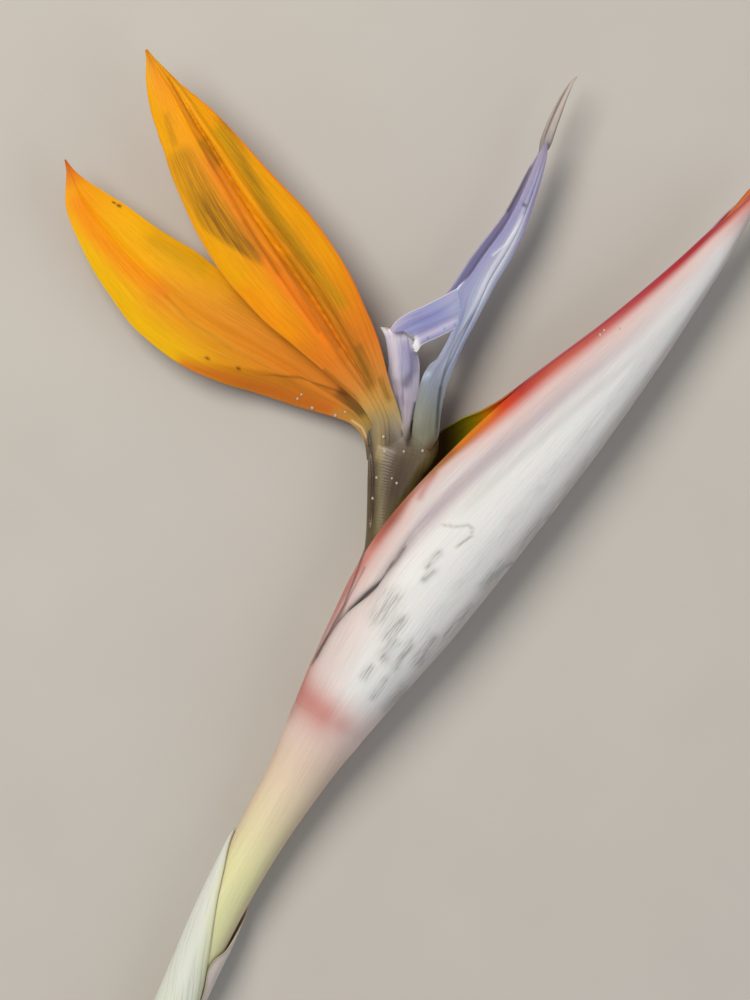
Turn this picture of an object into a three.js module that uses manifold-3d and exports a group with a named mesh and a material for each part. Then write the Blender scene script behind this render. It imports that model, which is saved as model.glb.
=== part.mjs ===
// A bird of paradise flower, cut and laid on its side: stalk, sheath, spathe and one open flower.
// Units are millimetres, +Z is up, and the flower lies in the XY plane with its beak towards +X +Y.
// The shapes are laid out round the spathe's mouth, and the whole group is moved at the end so that
// the origin is the bottom centre of its bounding box.
import * as THREE from "three";
import Module from "manifold-3d";

// ---------- driving dimensions ----------
const GAP = 0.3; // clearance between neighbouring pieces
const SPATHE_WALL = 1.4;
const SHEATH_WALL = 0.9;
const SEPAL_THICKNESS = 1.0;
const PETAL_THICKNESS = 0.8;

// Stalk: axis from the cut end to the top of the plug that holds the flowers, and radius along it.
const STALK_AXIS = [
  [-69.5, -170.5, 6.2], [-59.2, -148.2, 6.6], [-48.8, -125, 7.0], [-37.8, -101, 7.7],
  [-28.3, -83.5, 8.4], [-20.2, -70, 9.0], [-11.5, -55.2, 9.8], [-6.2, -46.4, 10.3],
];
const STALK_TOP = 0.927; // share of the axis at the shoulder that the spathe stands on
const STALK_RADIUS = [
  [0, 4.9], [0.3, 4.95], [0.5, 5.4], [0.64, 5.95], [0.73, 6.6], [0.8, 7.3], [0.87, 8.3], [0.927, 9.5],
];
const PLUG_RADIUS = 7.6;

// Sheath: a leaf base wrapped round the stalk, angles in degrees from +Z towards the left.
const SHEATH_CLEARANCE = 0.45;
const SHEATH_TIP = 0.675; // share of the stalk's axis
const SHEATH_FRONT = [[0, -80], [0.5, -62], [0.64, -30], [0.72, -8], [0.8, 20], [0.9, 62], [1, 88]];
const SHEATH_BACK = [[0, 262], [0.5, 288], [0.66, 304], [0.74, 285], [0.8, 266], [0.9, 180], [1, 92]];
const SHEATH_LOOSE = [[0, 0.1], [0.5, 0.4], [0.72, 1.1], [0.8, 1.3], [0.86, 0.5], [1, 0]];

// Spathe: midline, half width across (keel to margin) and half depth, along its length.
const SPATHE_MID = [
  [-11.4, -55.0, 9.9], [-5, -44.6, 10.6], [1.4, -34.6, 11.1], [8, -24.6, 11.2], [15.2, -14.7, 11.2],
  [30.9, 3.7, 11.1], [47.4, 21.6, 11.2], [64.2, 39.1, 11.4], [80.2, 57.3, 11.6], [87.2, 65.9, 11.8],
  [92.6, 72.5, 11.9], [98.8, 79.6, 12],
];
const SPATHE_HALF_WIDTH = [
  [0, 9.6], [0.06, 11.0], [0.13, 12.9], [0.2, 14.6], [0.28, 15.3], [0.41, 14.4], [0.55, 12.2],
  [0.69, 8.5], [0.82, 5.1], [0.88, 3.7], [0.94, 1.8], [1, 0.5],
];
const SPATHE_HALF_DEPTH = [
  [0, 9.5], [0.08, 10.3], [0.18, 10.9], [0.37, 11.0], [0.5, 9.9], [0.62, 8.1], [0.76, 5.4], [0.88, 3.2],
  [0.95, 2.3], [1, 1.0],
];
// How far round from the keel each wall reaches, in degrees, and how far the far wall stands above.
const NEAR_MARGIN = [
  [0, 166], [0.2, 162], [0.29, 154], [0.4, 148], [0.57, 151], [0.78, 160], [0.87, 152], [0.94, 134],
  [1, 130],
];
const FAR_MARGIN = [
  [0, 187], [0.12, 184], [0.17, 170], [0.22, 158], [0.28, 151], [0.4, 148], [0.57, 151], [0.78, 160],
  [0.87, 152], [0.94, 134], [1, 130],
];
const FAR_RISE = [
  [0, 0], [0.2, 0], [0.28, 2.5], [0.35, 4.4], [0.41, 3.8], [0.48, 1.4], [0.56, 0.2], [0.88, 0.1],
  [0.93, 0.9], [1, 0.4],
];
const CREASE_PLACE = [[0, 0.99], [0.08, 0.97], [0.14, 0.89], [0.2, 0.76], [0.3, 0.77], [0.5, 0.74], [1, 0.74]];
const CREASE_DEPTH = [[0, 0], [0.05, 0.2], [0.12, 1.1], [0.18, 1.7], [0.26, 0.9], [0.36, 0.35], [0.6, 0], [1, 0]];

// Flower base: flower stalk, ovary and floral tube, from the plug to the flat top at BASE_TOP.
const BASE_TOP = 15.8;
const BASE_PLACE = 2.2; // left of the plug's centre
const BASE_AXIS = [
  [-3.4, -34, 11], [0.2, -22, 10.9], [2.4, -11, 10.8], [3.6, -1, 11.0], [5.4, 8, 11.2], [7.1, 13, 11.2],
  [7.1, BASE_TOP, 11.2],
];
const BASE_HALF_WIDTH = [[0, 2.6], [0.2, 3.6], [0.45, 4.5], [0.7, 5.3], [0.85, 7.0], [0.93, 8.6], [1, 9.5]];
const BASE_HALF_DEPTH = [[0, 2.6], [0.2, 3.5], [0.5, 3.8], [0.7, 3.9], [0.85, 4.3], [1, 4.8]];
const FOOT = BASE_TOP + GAP; // where sepals, petals, style and stamens begin

// Sepals and petals: rib, and width to each side along it.
const FRONT_SEPAL_RIB = [
  [3.2, FOOT, 14.2], [3.2, 18, 14.2], [1.8, 22.4, 15.1], [-0.8, 27.6, 16.2], [-6.6, 37.1, 17.8],
  [-13.4, 46.6, 18.8], [-20.6, 55.6, 19.4], [-34.3, 73, 20.4], [-46.3, 92, 21.2], [-52.2, 101.2, 21.4],
  [-56.7, 112, 21.2],
];
const FRONT_SEPAL_WIDTH = [
  [0, 3.4], [0.06, 4.0], [0.1, 4.7], [0.2, 7.8], [0.3, 10.4], [0.4, 12.5], [0.5, 13.0], [0.6, 12.0],
  [0.7, 10.3], [0.8, 7.8], [0.9, 4.5], [0.96, 2.1], [1, 0.45],
];
const FRONT_KEEL_PLACE = [[0, 0.3], [0.2, 0.2], [0.4, 0.05], [0.6, -0.06], [0.8, -0.2], [0.93, -0.55], [1, -0.6]];
const LEFT_SEPAL_RIB = [
  [-0.8, FOOT, 10.6], [-0.8, 17.8, 10.6], [-3.2, 20.6, 10.8], [-8.0, 24.4, 11.2], [-16.9, 30.2, 11.6],
  [-25.8, 35.6, 11.8], [-44.1, 45.9, 11.9], [-59.6, 59.3, 12.3], [-66.4, 66.9, 12.8], [-72.8, 75, 13.4],
  [-77.4, 85, 14],
];
const LEFT_SEPAL_WIDTH = [
  [0, 1.2], [0.04, 1.8], [0.09, 3.4], [0.2, 6.9], [0.3, 9.3], [0.4, 11.4], [0.5, 12.4], [0.6, 12.2],
  [0.7, 10.3], [0.8, 8.0], [0.9, 4.8], [0.96, 2.3], [1, 0.45],
];
const LEFT_FOLD_PLACE = [[0, -0.6], [0.1, -0.5], [0.2, 0], [0.38, 0.58], [0.5, 0.8], [1, 0.9]];
const LEFT_FOLD_DROP = [[0, 0.2], [0.1, 0.5], [0.3, 0.55], [0.45, 0.12], [0.55, 0], [1, 0]];
const BACK_SEPAL_RIB = [
  [4.4, FOOT, 8.3], [4.4, 18, 8.3], [2.8, 22, 7.5], [-2.5, 30, 5.6], [-12.5, 45, 2.8], [-24, 60, 1.0],
  [-35, 76, 0.3], [-44, 92, 1.4], [-50, 103, 2.9],
];
const BACK_SEPAL_WIDTH = [[0, 2.6], [0.12, 3.8], [0.3, 7.2], [0.5, 9.6], [0.7, 8.2], [0.87, 4.4], [1, 0.45]];
const ARROW_RIB = [
  [11.0, FOOT, 11.3], [11.0, 18.2, 11.3], [12.9, 24, 11.3], [15.6, 31, 11.3], [19.6, 38.6, 11.3],
  [23.0, 46, 11.3], [27.2, 56.5, 11.3], [33.6, 67.2, 11.3], [37.9, 76.6, 11.3], [40.6, 83.4, 11.3],
  [42.9, 89.4, 11.3],
];
const ARROW_HALF_GAP = 2.0; // from the ribs' plane to each half
const ARROW_FRONT_LEFT = [
  [0, 2.4], [0.1, 3.0], [0.19, 3.3], [0.24, 2.2], [0.32, 1.8], [0.4, 2.8], [0.5, 4.6], [0.6, 2.9],
  [0.72, 1.8], [0.85, 1.4], [1, 0.5],
];
const ARROW_FRONT_RIGHT = [
  [0, 3.8], [0.1, 3.3], [0.22, 2.5], [0.32, 2.1], [0.42, 2.6], [0.5, 3.4], [0.6, 3.9], [0.72, 3.3],
  [0.85, 2.3], [0.95, 1.6], [1, 0.8],
];
const ARROW_BACK_LEFT = [
  [0, 2.2], [0.1, 2.5], [0.25, 1.9], [0.36, 1.9], [0.45, 3.2], [0.55, 4.9], [0.65, 4.2], [0.78, 3.0],
  [0.9, 1.9], [1, 0.6],
];
const ARROW_BACK_RIGHT = [[0, 3.4], [0.1, 3.0], [0.3, 2.0], [0.45, 2.4], [0.6, 3.3], [0.8, 2.3], [1, 0.6]];
const BARB_RIB = [[22.6, 48.4, 13.5], [18, 46.7, 13.8], [13.1, 44.3, 13.9], [9.4, 42.9, 13.8], [6.6, 41.3, 13.7]];
const BARB_WIDTH = [[0, 4.2], [0.3, 4.2], [0.6, 4.15], [0.85, 3.9], [1, 3.4]];
const HOOD_RIB = [
  [7.6, FOOT, 11.4], [7.6, 18, 11.4], [7.6, 22, 11.4], [7.5, 27, 11.4], [7.2, 31, 11.4], [7.2, 35, 11.4],
  [7.9, 38.8, 11.4],
];
const HOOD_LEFT = [[0, 0.8], [0.26, 1.4], [0.48, 3.0], [0.65, 3.8], [0.83, 3.8], [0.92, 4.6], [1, 6.2]];
const HOOD_RIGHT = [[0, 0.7], [0.26, 1.4], [0.48, 3.0], [0.65, 3.7], [0.83, 3.4], [1, 2.5]];
const STYLE_AXIS = [
  [10.7, FOOT, 11.85], [10.7, 18.2, 11.85], [12.7, 24, 11.85], [15.6, 31, 11.85], [19.6, 38.6, 11.85],
  [23.0, 46, 11.85], [27.2, 56.5, 11.85], [33.6, 67.2, 11.85], [37.9, 76.6, 11.85], [41.8, 87, 11.6],
  [44.2, 93.6, 11.5], [46.6, 99.8, 11.4], [49.3, 105.5, 11.3],
];
const STYLE_HALF_WIDTH = [
  [0, 0.75], [0.7, 0.7], [0.78, 0.8], [0.82, 1.4], [0.88, 1.15], [0.94, 0.75], [0.985, 0.35], [1, 0.3],
];
const STYLE_HALF_DEPTH = [[0, 0.45], [0.1, 0.55], [0.75, 0.55], [0.85, 0.75], [0.94, 0.5], [1, 0.3]];

// Stamens: side by side under the style, each with a filament and a long anther.
const STAMEN_REACH = [0.71, 0.745, 0.76, 0.745, 0.71]; // shares of the arrow's rib
const STAMEN_SPACING = 0.72;
const STAMEN_LEVEL = -0.65; // below the ribs' plane
const STAMEN_HALF_WIDTH = [[0, 0.3], [0.6, 0.3], [0.66, 0.32], [0.96, 0.32], [1, 0.2]];
const STAMEN_HALF_DEPTH = [[0, 0.3], [0.6, 0.3], [0.66, 0.42], [0.96, 0.42], [1, 0.2]];

// Unopened buds inside the spathe, and where they stand on the plug (left, up); the long one's
// flattened tip shows at the beak's end.
const BUD_PLACE = { bud_long: [-3.5, 2.3], bud_short: [-3.5, -2.4] };
const BUD_AXES = {
  bud_long: [
    [7.5, -36.5, 13.9], [22, -16, 14.4], [45, 13, 13.4], [66, 38.6, 12.2], [82, 59.8, 11.9],
    [88.6, 69.3, 12.0], [93.6, 75.7, 12.1], [99.6, 82.6, 12.2],
  ],
  bud_short: [[8.2, -36, 7.4], [19, -20, 7.1], [31, -4, 7.0], [43, 9.4, 7.2], [52, 18, 7.6]],
};
const BUD_HALF_WIDTH = {
  bud_long: [[0, 1.5], [0.12, 2.4], [0.4, 3.0], [0.65, 2.5], [0.85, 1.6], [0.95, 1.4], [1, 0.35]],
  bud_short: [[0, 1.5], [0.15, 2.4], [0.5, 2.8], [0.85, 1.4], [1, 0.4]],
};
const BUD_HALF_DEPTH = {
  bud_long: [[0, 1.5], [0.12, 2.4], [0.4, 2.8], [0.65, 2.2], [0.85, 0.8], [0.95, 0.65], [1, 0.35]],
  bud_short: [[0, 1.5], [0.15, 2.4], [0.5, 2.6], [0.85, 1.4], [1, 0.4]],
};

// ---------- shared shape tools ----------
const UP = new THREE.Vector3(0, 0, 1);

// A smooth function through [place, value] pairs that never overshoots them.
function along(pairs) {
  const n = pairs.length;
  const slope = (i) => (pairs[i + 1][1] - pairs[i][1]) / (pairs[i + 1][0] - pairs[i][0]);
  const lean = pairs.map((_, i) => {
    if (i === 0 || i === n - 1) return slope(Math.min(i, n - 2));
    const before = slope(i - 1);
    const after = slope(i);
    return before * after <= 0 ? 0 : (2 * before * after) / (before + after);
  });
  return (t) => {
    let i = 0;
    while (i < n - 2 && t > pairs[i + 1][0]) i += 1;
    const span = pairs[i + 1][0] - pairs[i][0];
    const x = THREE.MathUtils.clamp((t - pairs[i][0]) / span, 0, 1);
    const rise = pairs[i + 1][1] - pairs[i][1];
    const a = lean[i] * span - rise;
    const b = rise - lean[i + 1] * span;
    return pairs[i][1] + x * rise + x * (1 - x) * (a * (1 - x) + b * x);
  };
}

const curveThrough = (points) =>
  new THREE.CatmullRomCurve3(points.map((p) => new THREE.Vector3(...p)));

// The frame of a curve at a share of its length: place, direction, left and up.
function frameOn(curve, t) {
  const share = THREE.MathUtils.clamp(t, 0, 1);
  const ahead = curve.getTangentAt(share);
  const left = new THREE.Vector3().crossVectors(UP, ahead).normalize();
  const up = new THREE.Vector3().crossVectors(ahead, left);
  return { place: curve.getPointAt(share), ahead, left, up };
}

const offset = (frame, toLeft, toUp) =>
  frame.place.clone().addScaledVector(frame.left, toLeft).addScaledVector(frame.up, toUp);

function geometryOf(points, triangles) {
  const geometry = new THREE.BufferGeometry().setFromPoints(points);
  geometry.setIndex(triangles.flat());
  geometry.computeVertexNormals();
  return geometry;
}

const evenly = (count) => Array.from({ length: count + 1 }, (_, i) => i / count);

// A thin closed sheet on surface(t, s), cut into the same triangles on both faces.
function sheet(surface, places, across, thickness) {
  const columns = across.length;
  const faces = [[], []];
  const step = 1e-3;
  for (const t of places) {
    for (const s of across) {
      const low = Math.max(t - step, 0);
      const lengthwise = surface(Math.min(low + 2 * step, 1), s).sub(surface(low, s));
      const crosswise = surface(t, s + step).sub(surface(t, s - step));
      const normal = new THREE.Vector3().crossVectors(crosswise, lengthwise).normalize();
      const centre = surface(t, s);
      const half = thickness(t, s) / 2;
      faces[0].push(centre.clone().addScaledVector(normal, half));
      faces[1].push(centre.clone().addScaledVector(normal, -half));
    }
  }
  const below = faces[0].length;
  const points = [...faces[0], ...faces[1]];
  for (const point of points) point.z = Math.max(point.z, 0);
  const triangles = [];
  for (let i = 0; i + 1 < places.length; i += 1) {
    for (let j = 0; j + 1 < columns; j += 1) {
      const a = i * columns + j;
      const [b, c, d] = [a + 1, a + columns + 1, a + columns];
      triangles.push([a, b, c], [a, c, d]);
      triangles.push([a + below, c + below, b + below], [a + below, d + below, c + below]);
    }
  }
  const rim = [];
  const last = places.length - 1;
  for (let j = 0; j < columns; j += 1) rim.push(j);
  for (let i = 1; i <= last; i += 1) rim.push(i * columns + columns - 1);
  for (let j = columns - 2; j >= 0; j -= 1) rim.push(last * columns + j);
  for (let i = last - 1; i > 0; i -= 1) rim.push(i * columns);
  rim.forEach((a, k) => {
    const b = rim[(k + 1) % rim.length];
    triangles.push([a, a + below, b + below], [a, b + below, b]);
  });
  return geometryOf(points, triangles);
}

// A closed solid with an oval section along a curve; stations are [share, half width, half depth].
function rod(curve, stations, sides) {
  const points = [];
  for (const [share, halfWidth, halfDepth] of stations) {
    const frame = frameOn(curve, share);
    for (let k = 0; k < sides; k += 1) {
      const turn = (2 * Math.PI * (k + 0.5)) / sides;
      points.push(offset(frame, halfWidth * Math.cos(turn), halfDepth * Math.sin(turn)));
    }
  }
  const start = points.push(frameOn(curve, stations[0][0]).place) - 1;
  const end = points.push(frameOn(curve, stations.at(-1)[0]).place) - 1;
  for (const point of points) point.z = Math.max(point.z, 0);
  const triangles = [];
  const top = (stations.length - 1) * sides;
  for (let k = 0; k < sides; k += 1) {
    const next = (k + 1) % sides;
    triangles.push([start, next, k], [end, top + k, top + next]);
    for (let ring = 0; ring < top; ring += sides) {
      const [a, b] = [ring + k, ring + next];
      triangles.push([a, b, b + sides], [a, b + sides, a + sides]);
    }
  }
  return geometryOf(points, triangles);
}

// A leaf-like surface about a rib: s runs from -1 at the right edge to 1 at the left edge.
function blade(rib, leftWidth, rightWidth, lift) {
  const curve = curveThrough(rib);
  return (t, s) => {
    const width = s > 0 ? leftWidth(t) : rightWidth(t);
    return offset(frameOn(curve, t), s * width, lift(t, s));
  };
}

// ---------- joining solids ----------
const wasm = await Module();
wasm.setup();

const solidOf = (geometry) =>
  new wasm.Manifold(
    new wasm.Mesh({
      numProp: 3,
      vertProperties: new Float32Array(geometry.getAttribute("position").array),
      triVerts: new Uint32Array(geometry.index.array),
    }),
  );

function geometryFrom(solid) {
  const mesh = solid.getMesh();
  const geometry = new THREE.BufferGeometry();
  geometry.setAttribute("position", new THREE.BufferAttribute(mesh.vertProperties, 3));
  geometry.setIndex(new THREE.BufferAttribute(mesh.triVerts, 1));
  geometry.computeVertexNormals();
  return geometry;
}

// ---------- stalk ----------
const stalkCurve = curveThrough(STALK_AXIS);
const stalkRadius = along(STALK_RADIUS);

function stalk() {
  const stations = evenly(18).map((x) => {
    const share = x * STALK_TOP;
    return [share, stalkRadius(share), stalkRadius(share)];
  });
  stations.push([STALK_TOP + 1e-4, PLUG_RADIUS, PLUG_RADIUS]);
  stations.push([0.97, PLUG_RADIUS - 0.3, PLUG_RADIUS - 0.3]);
  stations.push([1, PLUG_RADIUS - 1.6, PLUG_RADIUS - 1.6]);
  return rod(stalkCurve, stations, 18);
}

// The first two points of an axis that stands square on the plug, just clear of it.
function onPlug(toLeft, toUp) {
  const frame = frameOn(stalkCurve, 1);
  const start = offset(frame, toLeft, toUp).addScaledVector(frame.ahead, GAP + 0.05);
  return [start, start.clone().addScaledVector(frame.ahead, 2)].map((p) => p.toArray());
}

// ---------- sheath round the lower stalk ----------
function sheath() {
  const front = along(SHEATH_FRONT);
  const back = along(SHEATH_BACK);
  const loose = along(SHEATH_LOOSE);
  const surface = (t, s) => {
    const angle = THREE.MathUtils.degToRad(front(t) + (back(t) - front(t)) * s);
    const share = t * SHEATH_TIP;
    const radius = stalkRadius(share) + SHEATH_CLEARANCE + SHEATH_WALL / 2 + loose(t) * s ** 6;
    return offset(frameOn(stalkCurve, share), radius * Math.sin(angle), radius * Math.cos(angle));
  };
  const places = evenly(18).map((x) => 1 - (1 - x) ** 1.5); // closer together towards the tip
  return sheet(surface, places, evenly(14), () => SHEATH_WALL);
}

// ---------- spathe ----------
function spathe() {
  const curve = curveThrough(SPATHE_MID);
  const halfWidth = along(SPATHE_HALF_WIDTH);
  const halfDepth = along(SPATHE_HALF_DEPTH);
  const reach = { near: along(NEAR_MARGIN), far: along(FAR_MARGIN) };
  const rise = along(FAR_RISE);
  const creasePlace = along(CREASE_PLACE);
  const creaseDepth = along(CREASE_DEPTH);
  const CREASE_WIDTH = 1.5;
  // s is 1 at the near margin, 0 at the keel and -1 at the far margin.
  const surface = (t, s) => {
    const near = s > 0;
    const full = reach[near ? "near" : "far"](t);
    const angle = THREE.MathUtils.degToRad(full * Math.abs(s));
    const whole = full < 180 ? 1 - Math.cos(THREE.MathUtils.degToRad(full)) : 2;
    const share = (1 - Math.cos(angle)) / whole;
    const span = 2 * halfWidth(t) + (near ? 0 : rise(t));
    const fromCrease = (share - creasePlace(t)) * span;
    const dent = near ? creaseDepth(t) * Math.exp(-((fromCrease / CREASE_WIDTH) ** 2)) : 0;
    const height = halfDepth(t) * Math.sin(angle) * (near ? 1 : -1) - dent;
    return offset(frameOn(curve, t), share * span - halfWidth(t), height);
  };
  const across = [
    -1, -0.93, -0.85, -0.74, -0.61, -0.47, -0.33, -0.2, -0.09, 0, 0.09, 0.2, 0.33, 0.45, 0.56, 0.64, 0.71,
    0.78, 0.85, 0.92, 1,
  ];
  const foot = 0.0025; // the spathe's foot stays clear of the stalk's shoulder
  const places = evenly(34).map((x) => foot + (1 - foot) * x);
  return sheet(surface, places, across, (t) => SPATHE_WALL - 0.5 * t);
}

// ---------- flower base ----------
function flowerBase() {
  const halfWidth = along(BASE_HALF_WIDTH);
  const halfDepth = along(BASE_HALF_DEPTH);
  const stations = evenly(14).map((t) => [t, halfWidth(t), halfDepth(t)]);
  return rod(curveThrough([...onPlug(BASE_PLACE, 0), ...BASE_AXIS]), stations, 16);
}

// ---------- sepals ----------
const bump = (x, width) => Math.exp(-((x / width) ** 2));

function frontSepal() {
  const width = along(FRONT_SEPAL_WIDTH);
  const keel = along(FRONT_KEEL_PLACE);
  const lift = (t, s) => {
    const line = keel(t);
    const ridges = bump(s - line, 0.09) + 0.8 * bump(s - line + 0.26, 0.09);
    const valley = bump(s - line + 0.13, 0.07);
    return -0.22 * width(t) * s * s + Math.min(width(t) / 8, 1) * (1.1 * ridges - 0.7 * valley);
  };
  const surface = blade(FRONT_SEPAL_RIB, width, width, lift);
  const follow = (t, s) => surface(t, s + keel(t) * (1 - s * s));
  const across = [1, 0.8, 0.55, 0.34, 0.18, 0.08, 0, -0.08, -0.14, -0.2, -0.28, -0.38, -0.55, -0.78, -1];
  return sheet(follow, evenly(26), across.reverse(), (t) => SEPAL_THICKNESS + 1.2 * (1 - t) ** 8);
}

function leftSepal() {
  const width = along(LEFT_SEPAL_WIDTH);
  const foldPlace = along(LEFT_FOLD_PLACE);
  const foldDrop = along(LEFT_FOLD_DROP);
  const lift = (t, s) => {
    const beyond = Math.max(s - foldPlace(t), 0) * width(t);
    return -0.16 * width(t) * s * s - foldDrop(t) * beyond - 0.5 * Math.min(width(t) / 8, 1) * bump(s, 0.12);
  };
  const surface = blade(LEFT_SEPAL_RIB, width, width, lift);
  const across = [-1, -0.75, -0.5, -0.3, -0.12, 0, 0.12, 0.3, 0.5, 0.65, 0.82, 1];
  return sheet(surface, evenly(26), across, (t) => SEPAL_THICKNESS + 0.8 * (1 - t) ** 8);
}

function backSepal() {
  const width = along(BACK_SEPAL_WIDTH);
  const lift = (t, s) => 0.2 * width(t) * s * s;
  const surface = blade(BACK_SEPAL_RIB, width, width, lift);
  const across = [-1, -0.7, -0.4, -0.14, 0.14, 0.4, 0.7, 1];
  return sheet(surface, evenly(18), across, () => SEPAL_THICKNESS);
}

// ---------- petals ----------
// Each half of the arrow is cupped round the style and the stamens, and meets the other at its edges.
function arrowHalf(left, right, side) {
  const leftWidth = along(left);
  const rightWidth = along(right);
  const lift = (t, s) => {
    const width = s > 0 ? leftWidth(t) : rightWidth(t);
    const closing = Math.min(0.22 * width, ARROW_HALF_GAP - PETAL_THICKNESS / 2 - GAP);
    return side * (ARROW_HALF_GAP - closing * s * s);
  };
  return blade(ARROW_RIB, leftWidth, rightWidth, lift);
}

function arrowFront() {
  const half = arrowHalf(ARROW_FRONT_LEFT, ARROW_FRONT_RIGHT, 1);
  const barbWidth = along(BARB_WIDTH);
  const barb = blade(BARB_RIB, barbWidth, barbWidth, (t, s) => -0.12 * barbWidth(t) * s * s);
  const across = [-1, -0.7, -0.35, 0, 0.35, 0.7, 1];
  const bladeSolid = solidOf(sheet(half, evenly(24), across, () => PETAL_THICKNESS));
  const barbSolid = solidOf(sheet(barb, evenly(8), across, () => PETAL_THICKNESS));
  return geometryFrom(bladeSolid.add(barbSolid));
}

function arrowBack() {
  const half = arrowHalf(ARROW_BACK_LEFT, ARROW_BACK_RIGHT, -1);
  return sheet(half, evenly(22), [-1, -0.65, -0.25, 0.25, 0.65, 1], () => PETAL_THICKNESS);
}

function hoodPetal() {
  const left = along(HOOD_LEFT);
  const right = along(HOOD_RIGHT);
  const surface = blade(HOOD_RIB, left, right, (t, s) => -0.14 * right(t) * s * s);
  return sheet(surface, evenly(12), [-1, -0.65, -0.3, 0, 0.3, 0.65, 1], () => PETAL_THICKNESS);
}

// ---------- style and stamens ----------
function style() {
  const halfWidth = along(STYLE_HALF_WIDTH);
  const halfDepth = along(STYLE_HALF_DEPTH);
  const stations = evenly(26).map((t) => [t, halfWidth(t), halfDepth(t)]);
  return rod(curveThrough(STYLE_AXIS), stations, 8);
}

// Each stamen runs beside the arrow's rib, and a shared foot joins them.
function stamens() {
  const curve = curveThrough(ARROW_RIB);
  const halfWidth = along(STAMEN_HALF_WIDTH);
  const halfDepth = along(STAMEN_HALF_DEPTH);
  const beside = (toLeft, reach) =>
    new THREE.CatmullRomCurve3(
      evenly(10).map((x) => offset(frameOn(curve, x * reach), toLeft, STAMEN_LEVEL)),
    );
  const stations = evenly(10).map((t) => [t, halfWidth(t), halfDepth(t)]);
  const middle = (STAMEN_REACH.length - 1) / 2;
  const halfRow = middle * STAMEN_SPACING + 0.4;
  const foot = rod(beside(0, 0.03), [[0, halfRow, 0.4], [1, halfRow, 0.4]], 8);
  return geometryFrom(
    STAMEN_REACH.reduce(
      (row, reach, i) =>
        row.add(solidOf(rod(beside((i - middle) * STAMEN_SPACING, reach), stations, 6))),
      solidOf(foot),
    ),
  );
}

// ---------- assembly ----------
const flower = new THREE.Group();

function add(name, geometry, color, roughness) {
  const material = new THREE.MeshStandardMaterial({ color, roughness, metalness: 0 });
  const mesh = new THREE.Mesh(geometry, material);
  mesh.name = name;
  flower.add(mesh);
}

add("stalk", stalk(), 0xe0d1ac, 0.5);
add("stalk_sheath", sheath(), 0xdee0d3, 0.55);
add("spathe", spathe(), 0xe3e2de, 0.6);
add("flower_base", flowerBase(), 0x6b5a4c, 0.35);
add("sepal_front", frontSepal(), 0xe08a18, 0.45);
add("sepal_left", leftSepal(), 0xe79c10, 0.45);
add("sepal_back", backSepal(), 0xd9821a, 0.45);
add("arrow_petal_front", arrowFront(), 0xa9adc8, 0.4);
add("arrow_petal_back", arrowBack(), 0x7d7f9c, 0.4);
add("hood_petal", hoodPetal(), 0xc5bcc7, 0.45);
add("style", style(), 0x8c7d79, 0.45);
add("stamens", stamens(), 0xd8d2c4, 0.6);

for (const [name, axis] of Object.entries(BUD_AXES)) {
  const halfWidth = along(BUD_HALF_WIDTH[name]);
  const halfDepth = along(BUD_HALF_DEPTH[name]);
  const stations = evenly(18).map((t) => [t, halfWidth(t), halfDepth(t)]);
  const curve = curveThrough([...onPlug(...BUD_PLACE[name]), ...axis]);
  add(name, rod(curve, stations, 10), 0xb4642a, 0.45);
}

const box = new THREE.Box3().setFromObject(flower);
const middle = box.getCenter(new THREE.Vector3());
flower.position.set(-middle.x, -middle.y, -box.min.z);

export default flower;
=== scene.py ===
import math

import bpy
import numpy as np
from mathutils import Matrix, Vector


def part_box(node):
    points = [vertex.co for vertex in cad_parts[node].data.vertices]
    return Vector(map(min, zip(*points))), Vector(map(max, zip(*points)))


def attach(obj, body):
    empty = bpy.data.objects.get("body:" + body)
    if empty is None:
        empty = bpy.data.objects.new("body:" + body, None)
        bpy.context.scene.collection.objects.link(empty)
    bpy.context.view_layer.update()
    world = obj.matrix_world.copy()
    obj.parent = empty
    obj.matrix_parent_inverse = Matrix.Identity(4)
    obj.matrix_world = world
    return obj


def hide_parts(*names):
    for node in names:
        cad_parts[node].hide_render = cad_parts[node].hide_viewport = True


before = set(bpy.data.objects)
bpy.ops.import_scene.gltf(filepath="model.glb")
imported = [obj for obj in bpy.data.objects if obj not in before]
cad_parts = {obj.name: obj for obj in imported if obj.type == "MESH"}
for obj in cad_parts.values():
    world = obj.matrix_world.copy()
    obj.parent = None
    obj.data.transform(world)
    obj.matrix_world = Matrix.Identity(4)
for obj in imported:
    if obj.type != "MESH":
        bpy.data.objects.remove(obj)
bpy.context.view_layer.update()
bpy.ops.object.select_all(action="DESELECT")


# ---------- stalk ----------
# The flower stalk: firm green-white tissue, smooth and round, swelling into a neck that carries the
# spathe. It is drawn out ring by ring, and its cut end is closed flat.
MM = 0.001

# Every length is set out in millimetres from one point beside the spathe's mouth. The flower base's
# flat top lies BASE_TOP beyond it, and the style's foot stands STYLE_FOOT to its right.
BASE_TOP = 15.8
STYLE_FOOT = 10.7
style_points = np.array([v.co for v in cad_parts["style"].data.vertices]) / MM
style_foot = style_points[style_points[:, 1] < style_points[:, 1].min() + 0.05]
SET_OUT = np.array([style_foot[:, 0].mean() - STYLE_FOOT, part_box("flower_base")[1].y / MM - BASE_TOP, 0.0])

SHOULDER = 0.9265  # share of the stalk's line where its neck ends in a shoulder
STALK_LINE = [
    (-69.5, -170.5, 6.2), (-59.2, -148.2, 6.6), (-48.8, -125, 7.0), (-37.8, -101, 7.7),
    (-28.3, -83.5, 8.4), (-20.2, -70, 9.05), (-11.5, -55.2, 9.9), (-6.2, -46.4, 10.3),
]
STALK_RADIUS = [
    (0, 4.9), (0.3, 4.95), (0.5, 5.4), (0.64, 5.95), (0.73, 6.6), (0.8, 7.35), (0.87, 8.55),
    (SHOULDER, 9.83), (0.9285, 9.84), (0.934, 8.2), (0.96, 7.4), (1, 5.8)]


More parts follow.
